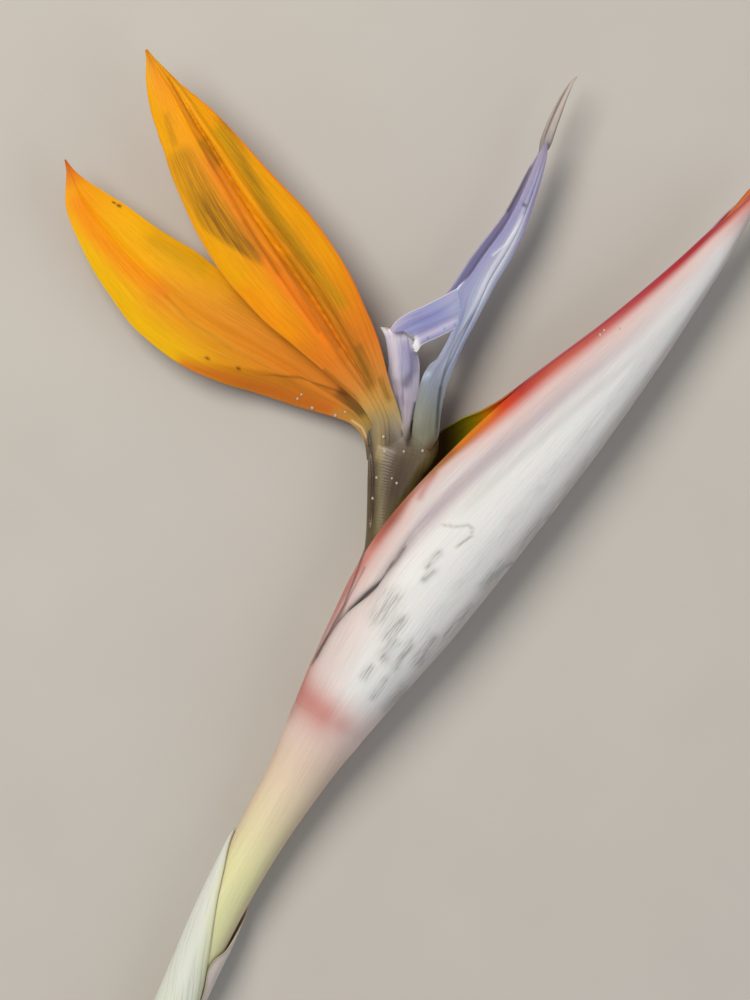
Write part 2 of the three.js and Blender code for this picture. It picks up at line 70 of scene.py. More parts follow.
def profile(pairs):
    """A value along a piece, smooth through (share, value) pairs and never past them."""
    x, y = np.array(pairs, float).T
    slope = np.diff(y) / np.diff(x)
    lean = np.concatenate([slope[:1], np.zeros(len(slope) - 1), slope[-1:]])
    before, after = slope[:-1], slope[1:]
    same = before * after > 0
    lean[1:-1][same] = 2 * (before * after)[same] / (before + after)[same]

    def at(t):
        i = np.clip(np.searchsorted(x, t, side="right") - 1, 0, len(slope) - 1)
        span, rise = x[i + 1] - x[i], y[i + 1] - y[i]
        f = np.clip((t - x[i]) / span, 0, 1)
        return y[i] + f * rise + f * (1 - f) * (
            (lean[i] * span - rise) * (1 - f) + (rise - lean[i + 1] * span) * f)

    return at


def line_through(points):
    """A smooth line; at a share of its length it gives place, ahead, left and up."""
    p = np.array(points, float)
    p = np.vstack([2 * p[0] - p[1], p, 2 * p[-1] - p[-2]])
    f = np.linspace(0, 1, 80, endpoint=False)[:, None]
    parts = []
    for a, b, c, d in zip(p, p[1:], p[2:], p[3:]):
        one, two, three = (math.sqrt(np.linalg.norm(q - r)) for q, r in ((a, b), (b, c), (c, d)))
        leave = ((b - a) / one - (c - a) / (one + two) + (c - b) / two) * two
        arrive = ((c - b) / two - (d - b) / (two + three) + (d - c) / three) * two
        parts.append((1 + 2 * f) * (1 - f) ** 2 * b + f * (1 - f) ** 2 * leave
                     + f ** 2 * (3 - 2 * f) * c + f ** 2 * (f - 1) * arrive)
    run = np.vstack(parts + [p[-2:-1]])
    reach = np.concatenate([[0], np.cumsum(np.linalg.norm(np.diff(run, axis=0), axis=1))])
    slant = np.gradient(run, reach, axis=0)

    def at(t):
        here = np.clip(t, 0, 1) * reach[-1]
        place, ahead = (np.stack([np.interp(here, reach, c) for c in q.T], -1) for q in (run, slant))
        ahead /= np.linalg.norm(ahead, axis=-1, keepdims=True)
        left = np.cross([0.0, 0.0, 1.0], ahead)
        left /= np.linalg.norm(left, axis=-1, keepdims=True)
        return place, ahead, left, np.cross(ahead, left)

    at.length = reach[-1]
    return at


def draw_out(name, line, half_width, half_depth, sides, shares):
    """A round stem: each ring is extruded from the one before, turned to the line and scaled."""
    places, ahead, _, _ = line(shares)
    places = (places + SET_OUT) * MM
    headings = np.unwrap(np.arctan2(ahead[:, 1], ahead[:, 0]))
    wide, deep = half_width(shares), half_depth(shares)
    bpy.ops.mesh.primitive_circle_add(
        vertices=sides, radius=MM, fill_type="NGON", location=places[0],
        rotation=(math.pi / 2, 0, headings[0] - math.pi / 2))
    stem = bpy.context.object
    stem.name = stem.data.name = name
    bpy.ops.object.transform_apply()
    bpy.ops.object.mode_set(mode="EDIT")
    bpy.ops.transform.resize(value=(wide[0], wide[0], deep[0]), center_override=places[0])
    for i in range(1, len(shares)):
        bpy.ops.mesh.extrude_region_move(TRANSFORM_OT_translate={"value": places[i] - places[i - 1]})
        bpy.ops.transform.rotate(
            value=headings[i - 1] - headings[i], orient_axis="Z", center_override=places[i])
        grow = wide[i] / wide[i - 1]
        bpy.ops.transform.resize(
            value=(grow, grow, deep[i] / deep[i - 1]), center_override=places[i])
    bpy.ops.mesh.select_all(action="SELECT")
    bpy.ops.mesh.normals_make_consistent(inside=False)
    bpy.ops.object.mode_set(mode="OBJECT")
    bpy.ops.object.shade_smooth_by_angle(angle=math.radians(40))
    return stem


def points_of(piece):
    """The piece's points in millimetres from the set-out point."""
    co = np.empty(len(piece.data.vertices) * 3)
    piece.data.vertices.foreach_get("co", co)
    return co.reshape(-1, 3) / MM - SET_OUT


def note(piece, name, values):
    """Keeps a value, a vector or a colour for each point, for the piece's material to read."""
    values = np.asarray(values, float)
    kind, field = {1: ("FLOAT", "value"), 3: ("FLOAT_VECTOR", "vector"), 4: ("FLOAT_COLOR", "color")}[
        1 if values.ndim == 1 else values.shape[1]]
    made = piece.data.attributes.new(name, kind, "POINT")
    made.data.foreach_set(field, values.ravel())


def along_line(piece, line):
    """Share along the line, and how far left of it and above it each point lies, in millimetres."""
    shares = np.linspace(0, 1, 500)
    places, _, lefts, ups = line(shares)
    points = points_of(piece)
    nearest = np.argmin(((points[:, None, :2] - places[None, :, :2]) ** 2).sum(-1), axis=1)
    away = points - places[nearest]
    return shares[nearest], (away * lefts[nearest]).sum(-1), (away * ups[nearest]).sum(-1)


def linear(colour):
    """An sRGB hex colour as linear red, green, blue and alpha."""
    parts = [int(colour[i:i + 2], 16) / 255 for i in (1, 3, 5)]
    return [p / 12.92 if p <= 0.04045 else ((p + 0.055) / 1.055) ** 2.4 for p in parts] + [1.0]


def shade(places, stops):
    """A colour for each place, run smoothly between (place, colour) stops."""
    marks = [mark for mark, _ in stops]
    colours = np.array([linear(colour) for _, colour in stops])
    return np.stack([np.interp(places, marks, channel) for channel in colours.T], -1)


def wash(under, colour, strength):
    """Lays a thin wash of colour over what is there."""
    over = np.array(linear(colour)) if isinstance(colour, str) else colour
    return under + (over - under) * np.clip(strength, 0, 1)[:, None]


def washes(under, coats):
    """Lays washes one over another, each given as a colour and its strength at every point."""
    for colour, strength in coats:
        under = wash(under, colour, strength)
    return under


def near(x, centre, width):
    """1 at the centre, falling away smoothly over the width."""
    return np.exp(-(((x - centre) / width) ** 2))


def rise(x, low, high):
    """0 below low, 1 above high, smooth between; it falls if high is the smaller."""
    f = np.clip((x - low) / (high - low), 0, 1)
    return f * f * (3 - 2 * f)


def stroke(points, path, width):
    """1 along a line of (x, y) marks in millimetres, falling away over the width to each side."""
    marks = np.array(path, float)
    start, run = marks[:-1], np.diff(marks, axis=0)
    away = points[:, None, :2] - start
    f = np.clip((away * run).sum(-1) / (run ** 2).sum(-1), 0, 1)
    return near(np.linalg.norm(away - f[..., None] * run, axis=-1).min(axis=1), 0, width)


def blushed(tint, points):
    """The red blush that crosses the joint of stalk and spathe, strongest at its left; painted shade darkens
    its left edge.
    """
    band = stroke(points, [(-20.2, -46.4), (-16.6, -50), (-13, -53.2)], 4.6)
    tail = stroke(points, [(-13, -53.2), (-8.9, -55.6)], 3.2)
    # Painted shade: a darker red-brown along the left edge of the joint.
    deep = stroke(points, [(-17.6, -41), (-19.6, -46), (-22.4, -53)], 2.4)
    tint = wash(tint, "#bf7168", np.maximum(band * 0.8, tail * 0.5))
    return wash(tint, "#96504b", deep * 0.55)


def new_finish(name, **sockets):
    """A material and its skin shader, with the skin's constants set on its own sockets."""
    material = bpy.data.materials.new(name)
    material.use_nodes = True
    skin = material.node_tree.nodes["Principled BSDF"]
    for socket, value in sockets.items():
        skin.inputs[socket.replace("_", " ")].default_value = value
    return material, skin


def put(material, kind, settings=None, inputs=None):
    """Adds a node to a material, with its settings made and its inputs set or linked."""
    tree = material.node_tree
    node = tree.nodes.new(kind)
    for name, value in (settings or {}).items():
        setattr(node, name, value)
    for socket, value in (inputs or {}).items():
        if isinstance(value, bpy.types.NodeSocket):
            tree.links.new(value, node.inputs[socket])
        else:
            node.inputs[socket].default_value = value
    return node


def streaks(material, apart, length, detail, roughness=0.5):
    """A pattern of streaks along the piece; how far apart and how long they are is in millimetres."""
    grain = put(material, "ShaderNodeAttribute", {"attribute_name": "grain"})
    run = put(material, "ShaderNodeMapping", None,
              {"Vector": grain.outputs["Vector"], "Scale": (1 / apart, 1 / length, 0)})
    noise = put(material, "ShaderNodeTexNoise", None,
                {"Vector": run.outputs[0], "Scale": 1.0, "Detail": detail, "Roughness": roughness})
    return noise.outputs["Fac"]


def lightened(material, under, pattern, low, high, darkest, lightest):
    """A colour made darker and lighter by a pattern, which is read between its low and high marks."""
    value = put(material, "ShaderNodeMapRange", None,
                {"Value": pattern, "From Min": low, "From Max": high, "To Min": darkest, "To Max": lightest})
    return put(material, "ShaderNodeVectorMath", {"operation": "SCALE"},
               {0: under, "Scale": value.outputs[0]}).outputs[0]


def cover(material, skin, colour, height=None, relief=0.0, deep=0.0002):
    """Gives the skin its colour and, where it has any, a raised pattern; its depth is in metres."""
    material.node_tree.links.new(colour, skin.inputs["Base Color"])
    if height:
        bump = put(material, "ShaderNodeBump", None, {"Height": height, "Strength": relief, "Distance": deep})
        material.node_tree.links.new(bump.outputs[0], skin.inputs["Normal"])


stalk_line = line_through(STALK_LINE)
stalk_radius = profile(STALK_RADIUS)
stalk_rings = np.append(np.linspace(0, SHOULDER, 80), (0.9285, 0.931, 0.934, 0.94, 0.95, 0.965, 0.98, 1))
stalk = draw_out("flower_stalk", stalk_line, stalk_radius, stalk_radius, 80, stalk_rings)
share, to_left, upward = along_line(stalk, stalk_line)
round_mm = np.arctan2(to_left, upward) * stalk_radius(share)
note(stalk, "grain", np.stack([round_mm, share * stalk_line.length, share], -1))
stalk_tint = shade(share, [
    (0.0, "#c9cda6"), (0.45, "#d4d5a2"), (0.62, "#dcd8a4"), (0.73, "#dccdaa"), (0.84, "#d9c3b0"),
    (0.9, "#d9c2b9"), (0.926, "#d9c2bb")])
# Painted shade: browner along the stalk's two sides, where its round skin turns away from the light.
side_shade = near(np.abs(to_left), stalk_radius(share), 1.3) * rise(share, 0.92, 0.82)
stalk_tint = wash(stalk_tint, "#c3a08f", side_shade * 0.4)
# Painted shadow: an olive-brown line on the stalk where the sheath's edge shades it.
sheath_edge_shadow = [(-47.2, -82.6), (-49.8, -91), (-51, -99), (-51.8, -107), (-52.2, -112), (-53.2, -119.5)]
stalk_tint = wash(stalk_tint, "#a2926e", stroke(points_of(stalk), sheath_edge_shadow, 0.9) * 0.55)
stalk_tint = blushed(stalk_tint, points_of(stalk))
note(stalk, "tint", stalk_tint)

# Fresh stem tissue: waxy, slightly see-through, with fine fibres along it 0.4 mm apart.
fresh_stem, stem_skin = new_finish(
    "fresh_waxy_stem", Roughness=0.42, IOR=1.42, Subsurface_Weight=0.25, Subsurface_Scale=0.002,
    Specular_IOR_Level=0.45)
stem_skin.inputs["Subsurface Radius"].default_value = (1.0, 0.7, 0.4)
stem_tint = put(fresh_stem, "ShaderNodeAttribute", {"attribute_name": "tint"})
stem_fibres = streaks(fresh_stem, apart=0.4, length=14, detail=3.0)
stem_colour = lightened(fresh_stem, stem_tint.outputs["Color"], stem_fibres, 0.3, 0.7, 0.94, 1.04)
cover(fresh_stem, stem_skin, stem_colour, stem_fibres, relief=0.15)
stalk.data.materials.append(fresh_stem)
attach(stalk, "root")
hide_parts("stalk")


# ---------- leaf sheath ----------
# The base of a leaf, rolled round the lower stalk: thin, tough and pale green-white, with one edge
# laid over the other and a loose flap at its right. It grows from below and only grips the stalk.
SHEATH_TIP = 0.675  # share of the stalk's line
SHEATH_WALL = 0.8
SHEATH_GAP = 0.16  # between it and the stalk
SHEATH_GRAIN = 34  # how wide its rib pattern takes it to be
THIN_EDGE = 2.5  # how far in from a margin a leaf's wall grows thinner
sheath_front = profile([
    (0, -80), (0.52, -66), (0.58, -50), (0.65, -28), (0.72, -8), (0.81, 17), (0.9, 42), (1, 88)])
sheath_back = profile([
    (0, 262), (0.45, 279), (0.52, 291), (0.58, 307), (0.64, 325), (0.67, 319), (0.7, 296), (0.78, 271),
    (0.85, 235), (0.92, 175), (1, 92)])
sheath_loose = profile([(0, 0.1), (0.5, 0.3), (0.7, 0.6), (0.78, 0.6), (0.86, 0.2), (1, 0)])


def lay_grid(name, across, lengthwise):
    """A flat grid to be laid on a line: s runs from 1 at the left edge to -1, t from foot to tip."""
    bpy.ops.mesh.primitive_grid_add(x_subdivisions=across, y_subdivisions=lengthwise, size=2)
    grid = bpy.context.object
    grid.name = grid.data.name = name
    co = np.empty(len(grid.data.vertices) * 3)
    grid.data.vertices.foreach_get("co", co)
    x, y, _ = co.reshape(-1, 3).T
    return grid, -x, (y + 1) / 2


def settle(grid, points):
    """Puts a grid's points, in millimetres, in their places, none below the surface it lies on."""
    points = np.array(points)
    points[:, 2] = np.maximum(points[:, 2], 0)
    grid.data.vertices.foreach_set("co", ((points + SET_OUT) * MM).ravel())
    grid.data.update()


def thicken(grid, wall, inner=0, rim=0, share=None):
    """Gives a sheet its wall, half to each side, thinned by each point's share of it. Inner and rim
    count on to the sheet's later materials."""
    solid = grid.modifiers.new("wall", "SOLIDIFY")
    if share is not None:
        group = grid.vertex_groups.new(name="wall")
        for part in np.unique(np.round(share, 2)):
            group.add(np.nonzero(np.round(share, 2) == part)[0].tolist(), part, "REPLACE")
        solid.vertex_group = "wall"
    solid.thickness, solid.offset = wall * MM, 0
    solid.material_offset, solid.material_offset_rim = inner, rim
    bpy.context.view_layer.objects.active = grid
    bpy.ops.object.modifier_apply(modifier="wall")
    settle(grid, points_of(grid))
    bpy.ops.object.shade_smooth_by_angle(angle=math.radians(50))


sheath, s, t = lay_grid("leaf_sheath", across=96, lengthwise=110)
s = (1 - s) / 2  # 0 at the front edge, 1 at the loose edge
t = 1 - (1 - t) ** 1.5  # its rows lie closer together towards its tip
angle = np.radians(sheath_front(t) + (sheath_back(t) - sheath_front(t)) * s)
to_edge = np.minimum(s, 1 - s) * np.radians(sheath_back(t) - sheath_front(t)) * stalk_radius(t * SHEATH_TIP)
thinned = 1 - 0.65 * rise(to_edge, THIN_EDGE, 0) * rise(t, 0, 0.1)
radius = stalk_radius(t * SHEATH_TIP) + SHEATH_GAP + thinned * SHEATH_WALL / 2 + sheath_loose(t) * s ** 6
place, _, left, up = stalk_line(t * SHEATH_TIP)
settle(sheath, place + left * (radius * np.sin(angle))[:, None] + up * (radius * np.cos(angle))[:, None])
note(sheath, "grain", np.stack([s * SHEATH_GRAIN, t * SHEATH_TIP * stalk_line.length, t], -1))
sheath_tint = shade(t, [(0, "#ccd0bd"), (0.5, "#d6dacb"), (0.8, "#dcdfd6"), (1, "#d9dbd3")])
sheath_tint = washes(sheath_tint, [
    ("#cfd1a6", near(s, 0, 0.07) * 0.8),
    ("#d6c8be", rise(s, 0.84, 0.92) * 0.9),
    # Painted shade: a thin dark line along both edges of the sheath.
    ("#a39784", near(to_edge, 0, 0.3) * 0.8),
])
note(sheath, "tint", sheath_tint)
thicken(sheath, SHEATH_WALL, share=thinned)

# Leaf sheath skin: pale, dull and waxy, ribbed along its length every 0.6 mm, with grey rubbed lines.
sheath_rind, sheath_skin = new_finish(
    "waxy_leaf_sheath", Roughness=0.5, IOR=1.4, Subsurface_Weight=0.15, Subsurface_Scale=0.0015)
rind_tint = put(sheath_rind, "ShaderNodeAttribute", {"attribute_name": "tint"})
rind_ribs = streaks(sheath_rind, apart=0.6, length=16, detail=4.0, roughness=0.6)
rind_colour = lightened(sheath_rind, rind_tint.outputs["Color"], rind_ribs, 0.32, 0.5, 0.8, 1.0)
cover(sheath_rind, sheath_skin, rind_colour, rind_ribs, relief=0.3)
sheath.data.materials.append(sheath_rind)
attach(sheath, "root")
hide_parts("stalk_sheath")


# ---------- spathe ----------
# The beak: one boat-shaped leaf folded along its keel, fleshy and white with bloom, red along its two
# upper margins. It grows out of the stalk's neck, and the flowers come out between the margins.
SPATHE_LINE = [
    (-11.4, -55.0, 9.9), (-5, -44.6, 10.6), (1.4, -34.6, 11.1), (8, -24.6, 11.2), (15.2, -14.7, 11.2),
    (30.9, 3.7, 11.1), (47.4, 21.6, 11.2), (64.2, 39.1, 11.4), (80.2, 57.3, 11.6), (87.2, 65.9, 11.8),
    (92.6, 72.5, 11.9), (98.8, 79.6, 12),
]
SPATHE_WALL = 1.2
SPATHE_GRAIN = 40  # how far its line pattern takes each wall to reach from the keel
spathe_line = line_through(SPATHE_LINE)
spathe_half_width = profile([
    (0, 9.27), (0.06, 11.0), (0.13, 12.95), (0.2, 14.65), (0.28, 15.35), (0.41, 14.45), (0.55, 12.25),
    (0.69, 8.55), (0.82, 5.15), (0.88, 3.7), (0.94, 1.8), (1, 0.4)])
spathe_half_depth = profile([
    (0, 9.27), (0.08, 10.3), (0.18, 10.9), (0.37, 11.0), (0.5, 9.9), (0.62, 8.1), (0.76, 5.4),
    (0.88, 3.2), (0.95, 2.3), (1, 0.9)])
near_reach = profile([
    (0, 166), (0.2, 162), (0.29, 154), (0.4, 148), (0.57, 151), (0.78, 160), (0.87, 152), (0.94, 134),
    (1, 130)])
far_reach = profile([
    (0, 187), (0.12, 184), (0.17, 170), (0.22, 158), (0.28, 151), (0.4, 148), (0.57, 151), (0.78, 160),
    (0.87, 152), (0.94, 134), (1, 130)])
far_rise = profile([
    (0, 0), (0.2, 0), (0.28, 2.8), (0.35, 5.2), (0.41, 5.4), (0.45, 4.1), (0.48, 2.0), (0.52, 0.7),
    (0.6, 0.2), (0.88, 0.1),
    (0.93, 0.9), (1, 0.4)])
crease_place = profile([
    (0, 0.99), (0.08, 0.97), (0.14, 0.89), (0.2, 0.76), (0.3, 0.77), (0.5, 0.74), (1, 0.74)])
crease_depth = profile([
    (0, 0), (0.05, 0.3), (0.12, 1.3), (0.18, 1.9), (0.26, 1.0), (0.36, 0.55), (0.55, 0.4), (0.75, 0.2),
    (0.9, 0), (1, 0)])

spathe, s, t = lay_grid("spathe_beak", across=190, lengthwise=230)
on_near = s > 0  # s is 1 at the near margin, 0 at the keel and -1 at the far margin
full = np.radians(np.where(on_near, near_reach(t), far_reach(t)))
angle = full * np.abs(s)
height_share = (1 - np.cos(angle)) / np.where(full < np.pi, 1 - np.cos(full), 2)
span = 2 * spathe_half_width(t) + np.where(on_near, 0, far_rise(t))
to_margin = (1 - height_share) * span
from_crease = (height_share - crease_place(t)) * span
hollow = 0.75 * near(from_crease, 0, 1.5) + 0.4 * near(from_crease, 0.1, 0.5)
dent = np.where(on_near, crease_depth(t) * hollow, 0)
deep = spathe_half_depth(t) * np.sin(angle) * np.where(on_near, 1, -1) - dent
place, _, left, up = spathe_line(t)
settle(spathe, place + left * (height_share * span - spathe_half_width(t))[:, None] + up * deep[:, None])
note(spathe, "grain", np.stack([np.abs(s) * SPATHE_GRAIN, t * spathe_line.length, t], -1))

points = points_of(spathe)
fold_place = profile([
    (0, 0.99), (0.14, 0.89), (0.2, 0.77), (0.34, 0.75), (0.47, 0.7), (0.6, 0.66), (0.72, 0.6), (0.85, 0.55),
    (1, 0.5)])
from_fold = (height_share - fold_place(t)) * span
# Painted shade: the white turns greyer towards the keel, which faces away from the light.
spathe_tint = shade(height_share, [
    (0, "#c6beb8"), (0.05, "#d6d2ce"), (0.12, "#dfddda"), (0.2, "#e4e3e0"), (0.4, "#e7e6e3"),
    (1, "#e0ddd9")])
spathe_tint = washes(spathe_tint, [
    ("#cfc3c1", rise(from_fold, -5, 1) * rise(t, 0.98, 0.8) * 0.9),
    ("#d6cac6", rise(height_share, 0.45, 0.85) * rise(t, 0.22, 0.08) * 0.8),
    # Painted shade: mauve-grey bands in the shallow fold along the near wall.
    ("#ab9fa5", near(from_fold, -0.4, 1.9) * rise(t, 0.22, 0.33) * rise(t, 0.84, 0.5) * 0.8),
    ("#bfbcb9", near(from_fold, -4.6, 1.5) * rise(t, 0.3, 0.42) * rise(t, 0.84, 0.6) * 0.5),
    # Painted shade: darker again along the keel itself.
    ("#cfc4bf", rise(height_share, 0.1, 0.0) * 0.6),
    ("#d9c3bc", rise(t, 0.07, 0) * 0.95),
    ("#d8c6c1", rise(height_share, 0.4, 0.9) * rise(t, 0.24, 0.16) * 0.7),
])
band = shade(t, [
    (0, "#cfaaa3"), (0.07, "#b58a86"), (0.17, "#b4746c"), (0.23, "#cc857a"), (0.25, "#b4685a"),
    (0.28, "#9c5848"), (0.315, "#ac6a58"), (0.345, "#b98370"), (0.37, "#a97445"), (0.4, "#a5622f"),
    (0.43, "#b25c14"), (0.465, "#cc590e"), (0.505, "#d03f10"), (0.536, "#ba3a28"), (0.6, "#c05a46"),
    (0.67, "#bf5850"), (0.745, "#b53e44"), (0.82, "#b0222e"), (0.87, "#a51824"), (0.91, "#a82a2a"),
    (0.94, "#b2522c"), (1, "#bf6c58")])
band_width = profile([
    (0, 0.6), (0.07, 0.7), (0.15, 1.4), (0.23, 3.0), (0.28, 3.2), (0.33, 1.6), (0.36, 1.5), (0.4, 2.2),
    (0.47, 4.0), (0.52, 4.4), (0.6, 4.2), (0.7, 3.4), (0.82, 2.6), (0.9, 2.0), (1, 1.5)])(t)
spathe_tint = washes(spathe_tint, [
    ("#d6b4ad", rise(to_margin, 2.1 * band_width + 1, 0.7 * band_width) * 0.8),
    (band, rise(to_margin, 1.2 * band_width, 0.3 * band_width)),
    ("#dd8410", near(to_margin, 0, 1.4) * rise(t, 0.4, 0.43) * rise(t, 0.505, 0.475) * 0.85),
    ("#c97c74", rise(t, 0.86, 1) * rise(height_share, -0.3, 0.5) * 0.8),
    ("#9b2f3c", near(to_margin, 0.35, 0.3) * rise(t, 0.5, 0.56) * 0.7),
])

# Painted shade: dark lines where the near wall is folded over into a crease, along its rolled-in margin, and
# in a small red-brown crease by the mouth.
MARGIN_LINE = [
    (-1.95, -11.5), (-3.35, -15.4), (-5, -20.4), (-7.25, -26), (-10.05, -31), (-12.8, -36.6),
    (-15.1, -41.1)]
INNER_LINE = [(-2.25, -17.1), (-4.5, -21.5), (-7.25, -26.5), (-9.5, -31), (-12.2, -36)]
CREASE_LINE = [
    (9.2, -9.6), (7.75, -12), (5.5, -15.4), (2.25, -19.25), (-2.25, -23.25), (-6.15, -27.1), (-8.9, -30.5),
    (-11.75, -34.9), (-14.2, -39.4)]
upper = rise(points[:, 2], 11, 12)
spathe_tint = washes(spathe_tint, [
    ("#a89b98", stroke(points, CREASE_LINE, 1.1) * upper * 0.5),
    ("#4f423d", stroke(points, CREASE_LINE[1:], 0.42) * upper * 0.75),
    ("#2f2522", stroke(points, CREASE_LINE[3:6], 0.34) * upper * 0.8),
    ("#4a3431", stroke(points, MARGIN_LINE, 0.28) * upper * 0.8),
    ("#7c4441", stroke(points, INNER_LINE, 0.25) * upper * 0.6),
    ("#a6483f", stroke(points, [(11.4, 0.4), (12.9, 3.2), (15.1, 6.2)], 0.8) * upper * 0.45),
])
SCRATCHES = [[(20.4, -11.5), (23.4, -9.3)], [(43.3, -3.3), (42.2, -4.6)], [(33.9, -15.2), (32.4, -16.4)]]
for scratch in SCRATCHES:
    spathe_tint = wash(spathe_tint, "#7d7670", stroke(points, scratch, 0.3) * upper * 0.6)
NICKS = [
    (27.4, -20.6), (28.5, -20.0), (29.7, -19.2), (3.4, -50.8), (4.6, -50.1), (5.8, -48.9), (10.9, -39.6)]
for x, y in NICKS:
    nick = stroke(points, [(x, y), (x + 1.7, y + 2.5)], 0.32)
    spathe_tint = wash(spathe_tint, "#8d8883", nick * upper * 0.5)
hooked_scratch = [(16.7, -6.2), (20.1, -6.7), (23.2, -6.2), (24.1, -7.1), (24.0, -9.0)]
spathe_tint = wash(spathe_tint, "#86807b", stroke(points, hooked_scratch, 0.34) * upper * 0.42)
note(spathe, "tint", blushed(spathe_tint, points))

# Inside, olive in the depth of the mouth turns yellow, orange and red towards the margins; the darkest olive,
# deep in the mouth, is painted shade.
towards_tip = points[:, 0] * 0.83 + points[:, 1] * 0.55 + np.minimum(0.8 * to_margin, 5)
note(spathe, "inner_tint", shade(towards_tip, [
    (0, "#94805c"), (16, "#8a7648"), (21, "#7c6434"), (24.5, "#58481f"), (27, "#554c12"), (30, "#6d670c"),
    (33, "#9c860a"), (36, "#e08c0a"), (38.5, "#e65c0c"), (42, "#d63c12"), (60, "#c87058"), (90, "#c05838"),
    (120, "#c86a40")]))
note(spathe, "rim_tint", shade(t + 0.3 * on_near * rise(t, 0.3, 0.36), [
    (0, "#d3b2ab"), (0.05, "#b98a86"), (0.3, "#4a3d1c"), (0.4, "#5a5418"), (0.46, "#8c8314"),
    (0.5, "#a96414"), (0.54, "#8e3038"), (0.6, "#a98096"), (1, "#a98096")]))

# Where the white bloom has been rubbed off along the leaf, as (start, end, half width) in mm.
RUBS = [
    ((0.6, -29.2), (4.4, -24.2), 2.5), ((3.2, -34.0), (6.4, -29.8), 1.8),
    ((2.2, -38.8), (4.8, -35.4), 1.6), ((4.8, -41.4), (9.0, -35.4), 1.2),
    ((10.4, -40.0), (14.6, -34.8), 2.0), ((-2.8, -44.0), (-1.0, -41.6), 1.0),
    ((3.0, -51.6), (7.0, -46.8), 2.0), ((27, -21.6), (31.4, -16.2), 1.8),
    ((12.2, -19.6), (14.6, -17.6), 0.9), ((13, -16.6), (15.8, -13.2), 0.9),
    ((-0.8, -49), (2.4, -44.6), 0.9), ((17, -34), (24, -26), 1.2), ((36, -11.5), (41, -5), 1.2),
    ((46, 0), (52, 8), 1.1), ((58, 15), (66, 26), 1.1)]
rub = np.zeros(len(points))
for start, end, half_across in RUBS:
    rub = np.maximum(rub, stroke(points, [start, end], half_across))
keel_rub = 0.5 * rise(height_share, 0.14, 0.04) * rise(t, 0.03, 0.1) * rise(t, 0.97, 0.9)
flank_rub = 0.3 * rise(np.abs(height_share - 0.22), 0.1, 0) * rise(t, 0.03, 0.1) * rise(t, 0.9, 0.6)
rub = np.maximum(np.maximum(rub, keel_rub), flank_rub)
note(spathe, "rub", np.where(on_near, rub, 0))

# Spathe skin: fleshy leaf under a dull white bloom. Lines 0.35 mm apart run along it, and show grey
# where the bloom is rubbed off.
bloom, bloom_skin = new_finish(
    "white_bloomed_spathe", Roughness=0.5, IOR=1.42, Subsurface_Weight=0.2, Subsurface_Scale=0.002)
bloom_tint = put(bloom, "ShaderNodeAttribute", {"attribute_name": "tint"})
bloom_rub = put(bloom, "ShaderNodeAttribute", {"attribute_name": "rub"})
fine_lines = streaks(bloom, apart=0.35, length=12, detail=3.0)
bloom_base = lightened(bloom, bloom_tint.outputs["Color"], fine_lines, 0.3, 0.7, 0.91, 1.03)
rub_breaks = put(bloom, "ShaderNodeMapRange", None,
                 {"Value": streaks(bloom, apart=0.45, length=5.5, detail=2.0), "From Min": 0.44,
                  "From Max": 0.62, "To Min": 0.3, "To Max": 0.95})
rub_mask = put(bloom, "ShaderNodeMath", {"operation": "MULTIPLY"},
               {0: rub_breaks.outputs[0], 1: bloom_rub.outputs["Fac"]})
bloom_colour = put(bloom, "ShaderNodeMix", {"data_type": "RGBA"},
                   {0: rub_mask.outputs[0], 6: bloom_base, 7: linear("#a09e99")})
bloom_rough = put(bloom, "ShaderNodeMapRange", None,
                  {"Value": rub_mask.outputs[0], "To Min": 0.52, "To Max": 0.36})
bloom.node_tree.links.new(bloom_rough.outputs[0], bloom_skin.inputs["Roughness"])
cover(bloom, bloom_skin, bloom_colour.outputs[2], fine_lines, relief=0.25)
spathe.data.materials.append(bloom)

# The spathe's wet inner face: glossier, olive deep in the mouth, where painted shade darkens it, yellow and
# red towards the margin, with lines 0.5 mm apart.
lining, lining_skin = new_finish(
    "moist_spathe_lining", Roughness=0.3, IOR=1.4, Subsurface_Weight=0.2, Subsurface_Scale=0.002)
lining_tint = put(lining, "ShaderNodeAttribute", {"attribute_name": "inner_tint"})
lining_lines = streaks(lining, apart=0.5, length=12, detail=3.0)
cover(lining, lining_skin, lightened(lining, lining_tint.outputs["Color"], lining_lines, 0, 1, 0.8, 1.15))
spathe.data.materials.append(lining)

# The margin itself: a dry, thin edge, olive beside the mouth and purple-pink towards the tip, with
# flecks about 1 mm across.
margin, margin_skin = new_finish("dry_purple_margin", Roughness=0.5)
margin_tint = put(margin, "ShaderNodeAttribute", {"attribute_name": "rim_tint"})
margin_flecks = put(margin, "ShaderNodeTexNoise", None, {"Scale": 900.0, "Detail": 2.0})
margin_colour = lightened(
    margin, margin_tint.outputs["Color"], margin_flecks.outputs["Fac"], 0, 1, 0.75, 1.2)
cover(margin, margin_skin, margin_colour)
spathe.data.materials.append(margin)
thinned = 1 - 0.6 * rise(to_margin, THIN_EDGE, 0) * rise(t, 0.02, 0.2)
thicken(spathe, SPATHE_WALL, inner=1, rim=2, share=thinned)
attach(spathe, "root")
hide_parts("spathe")


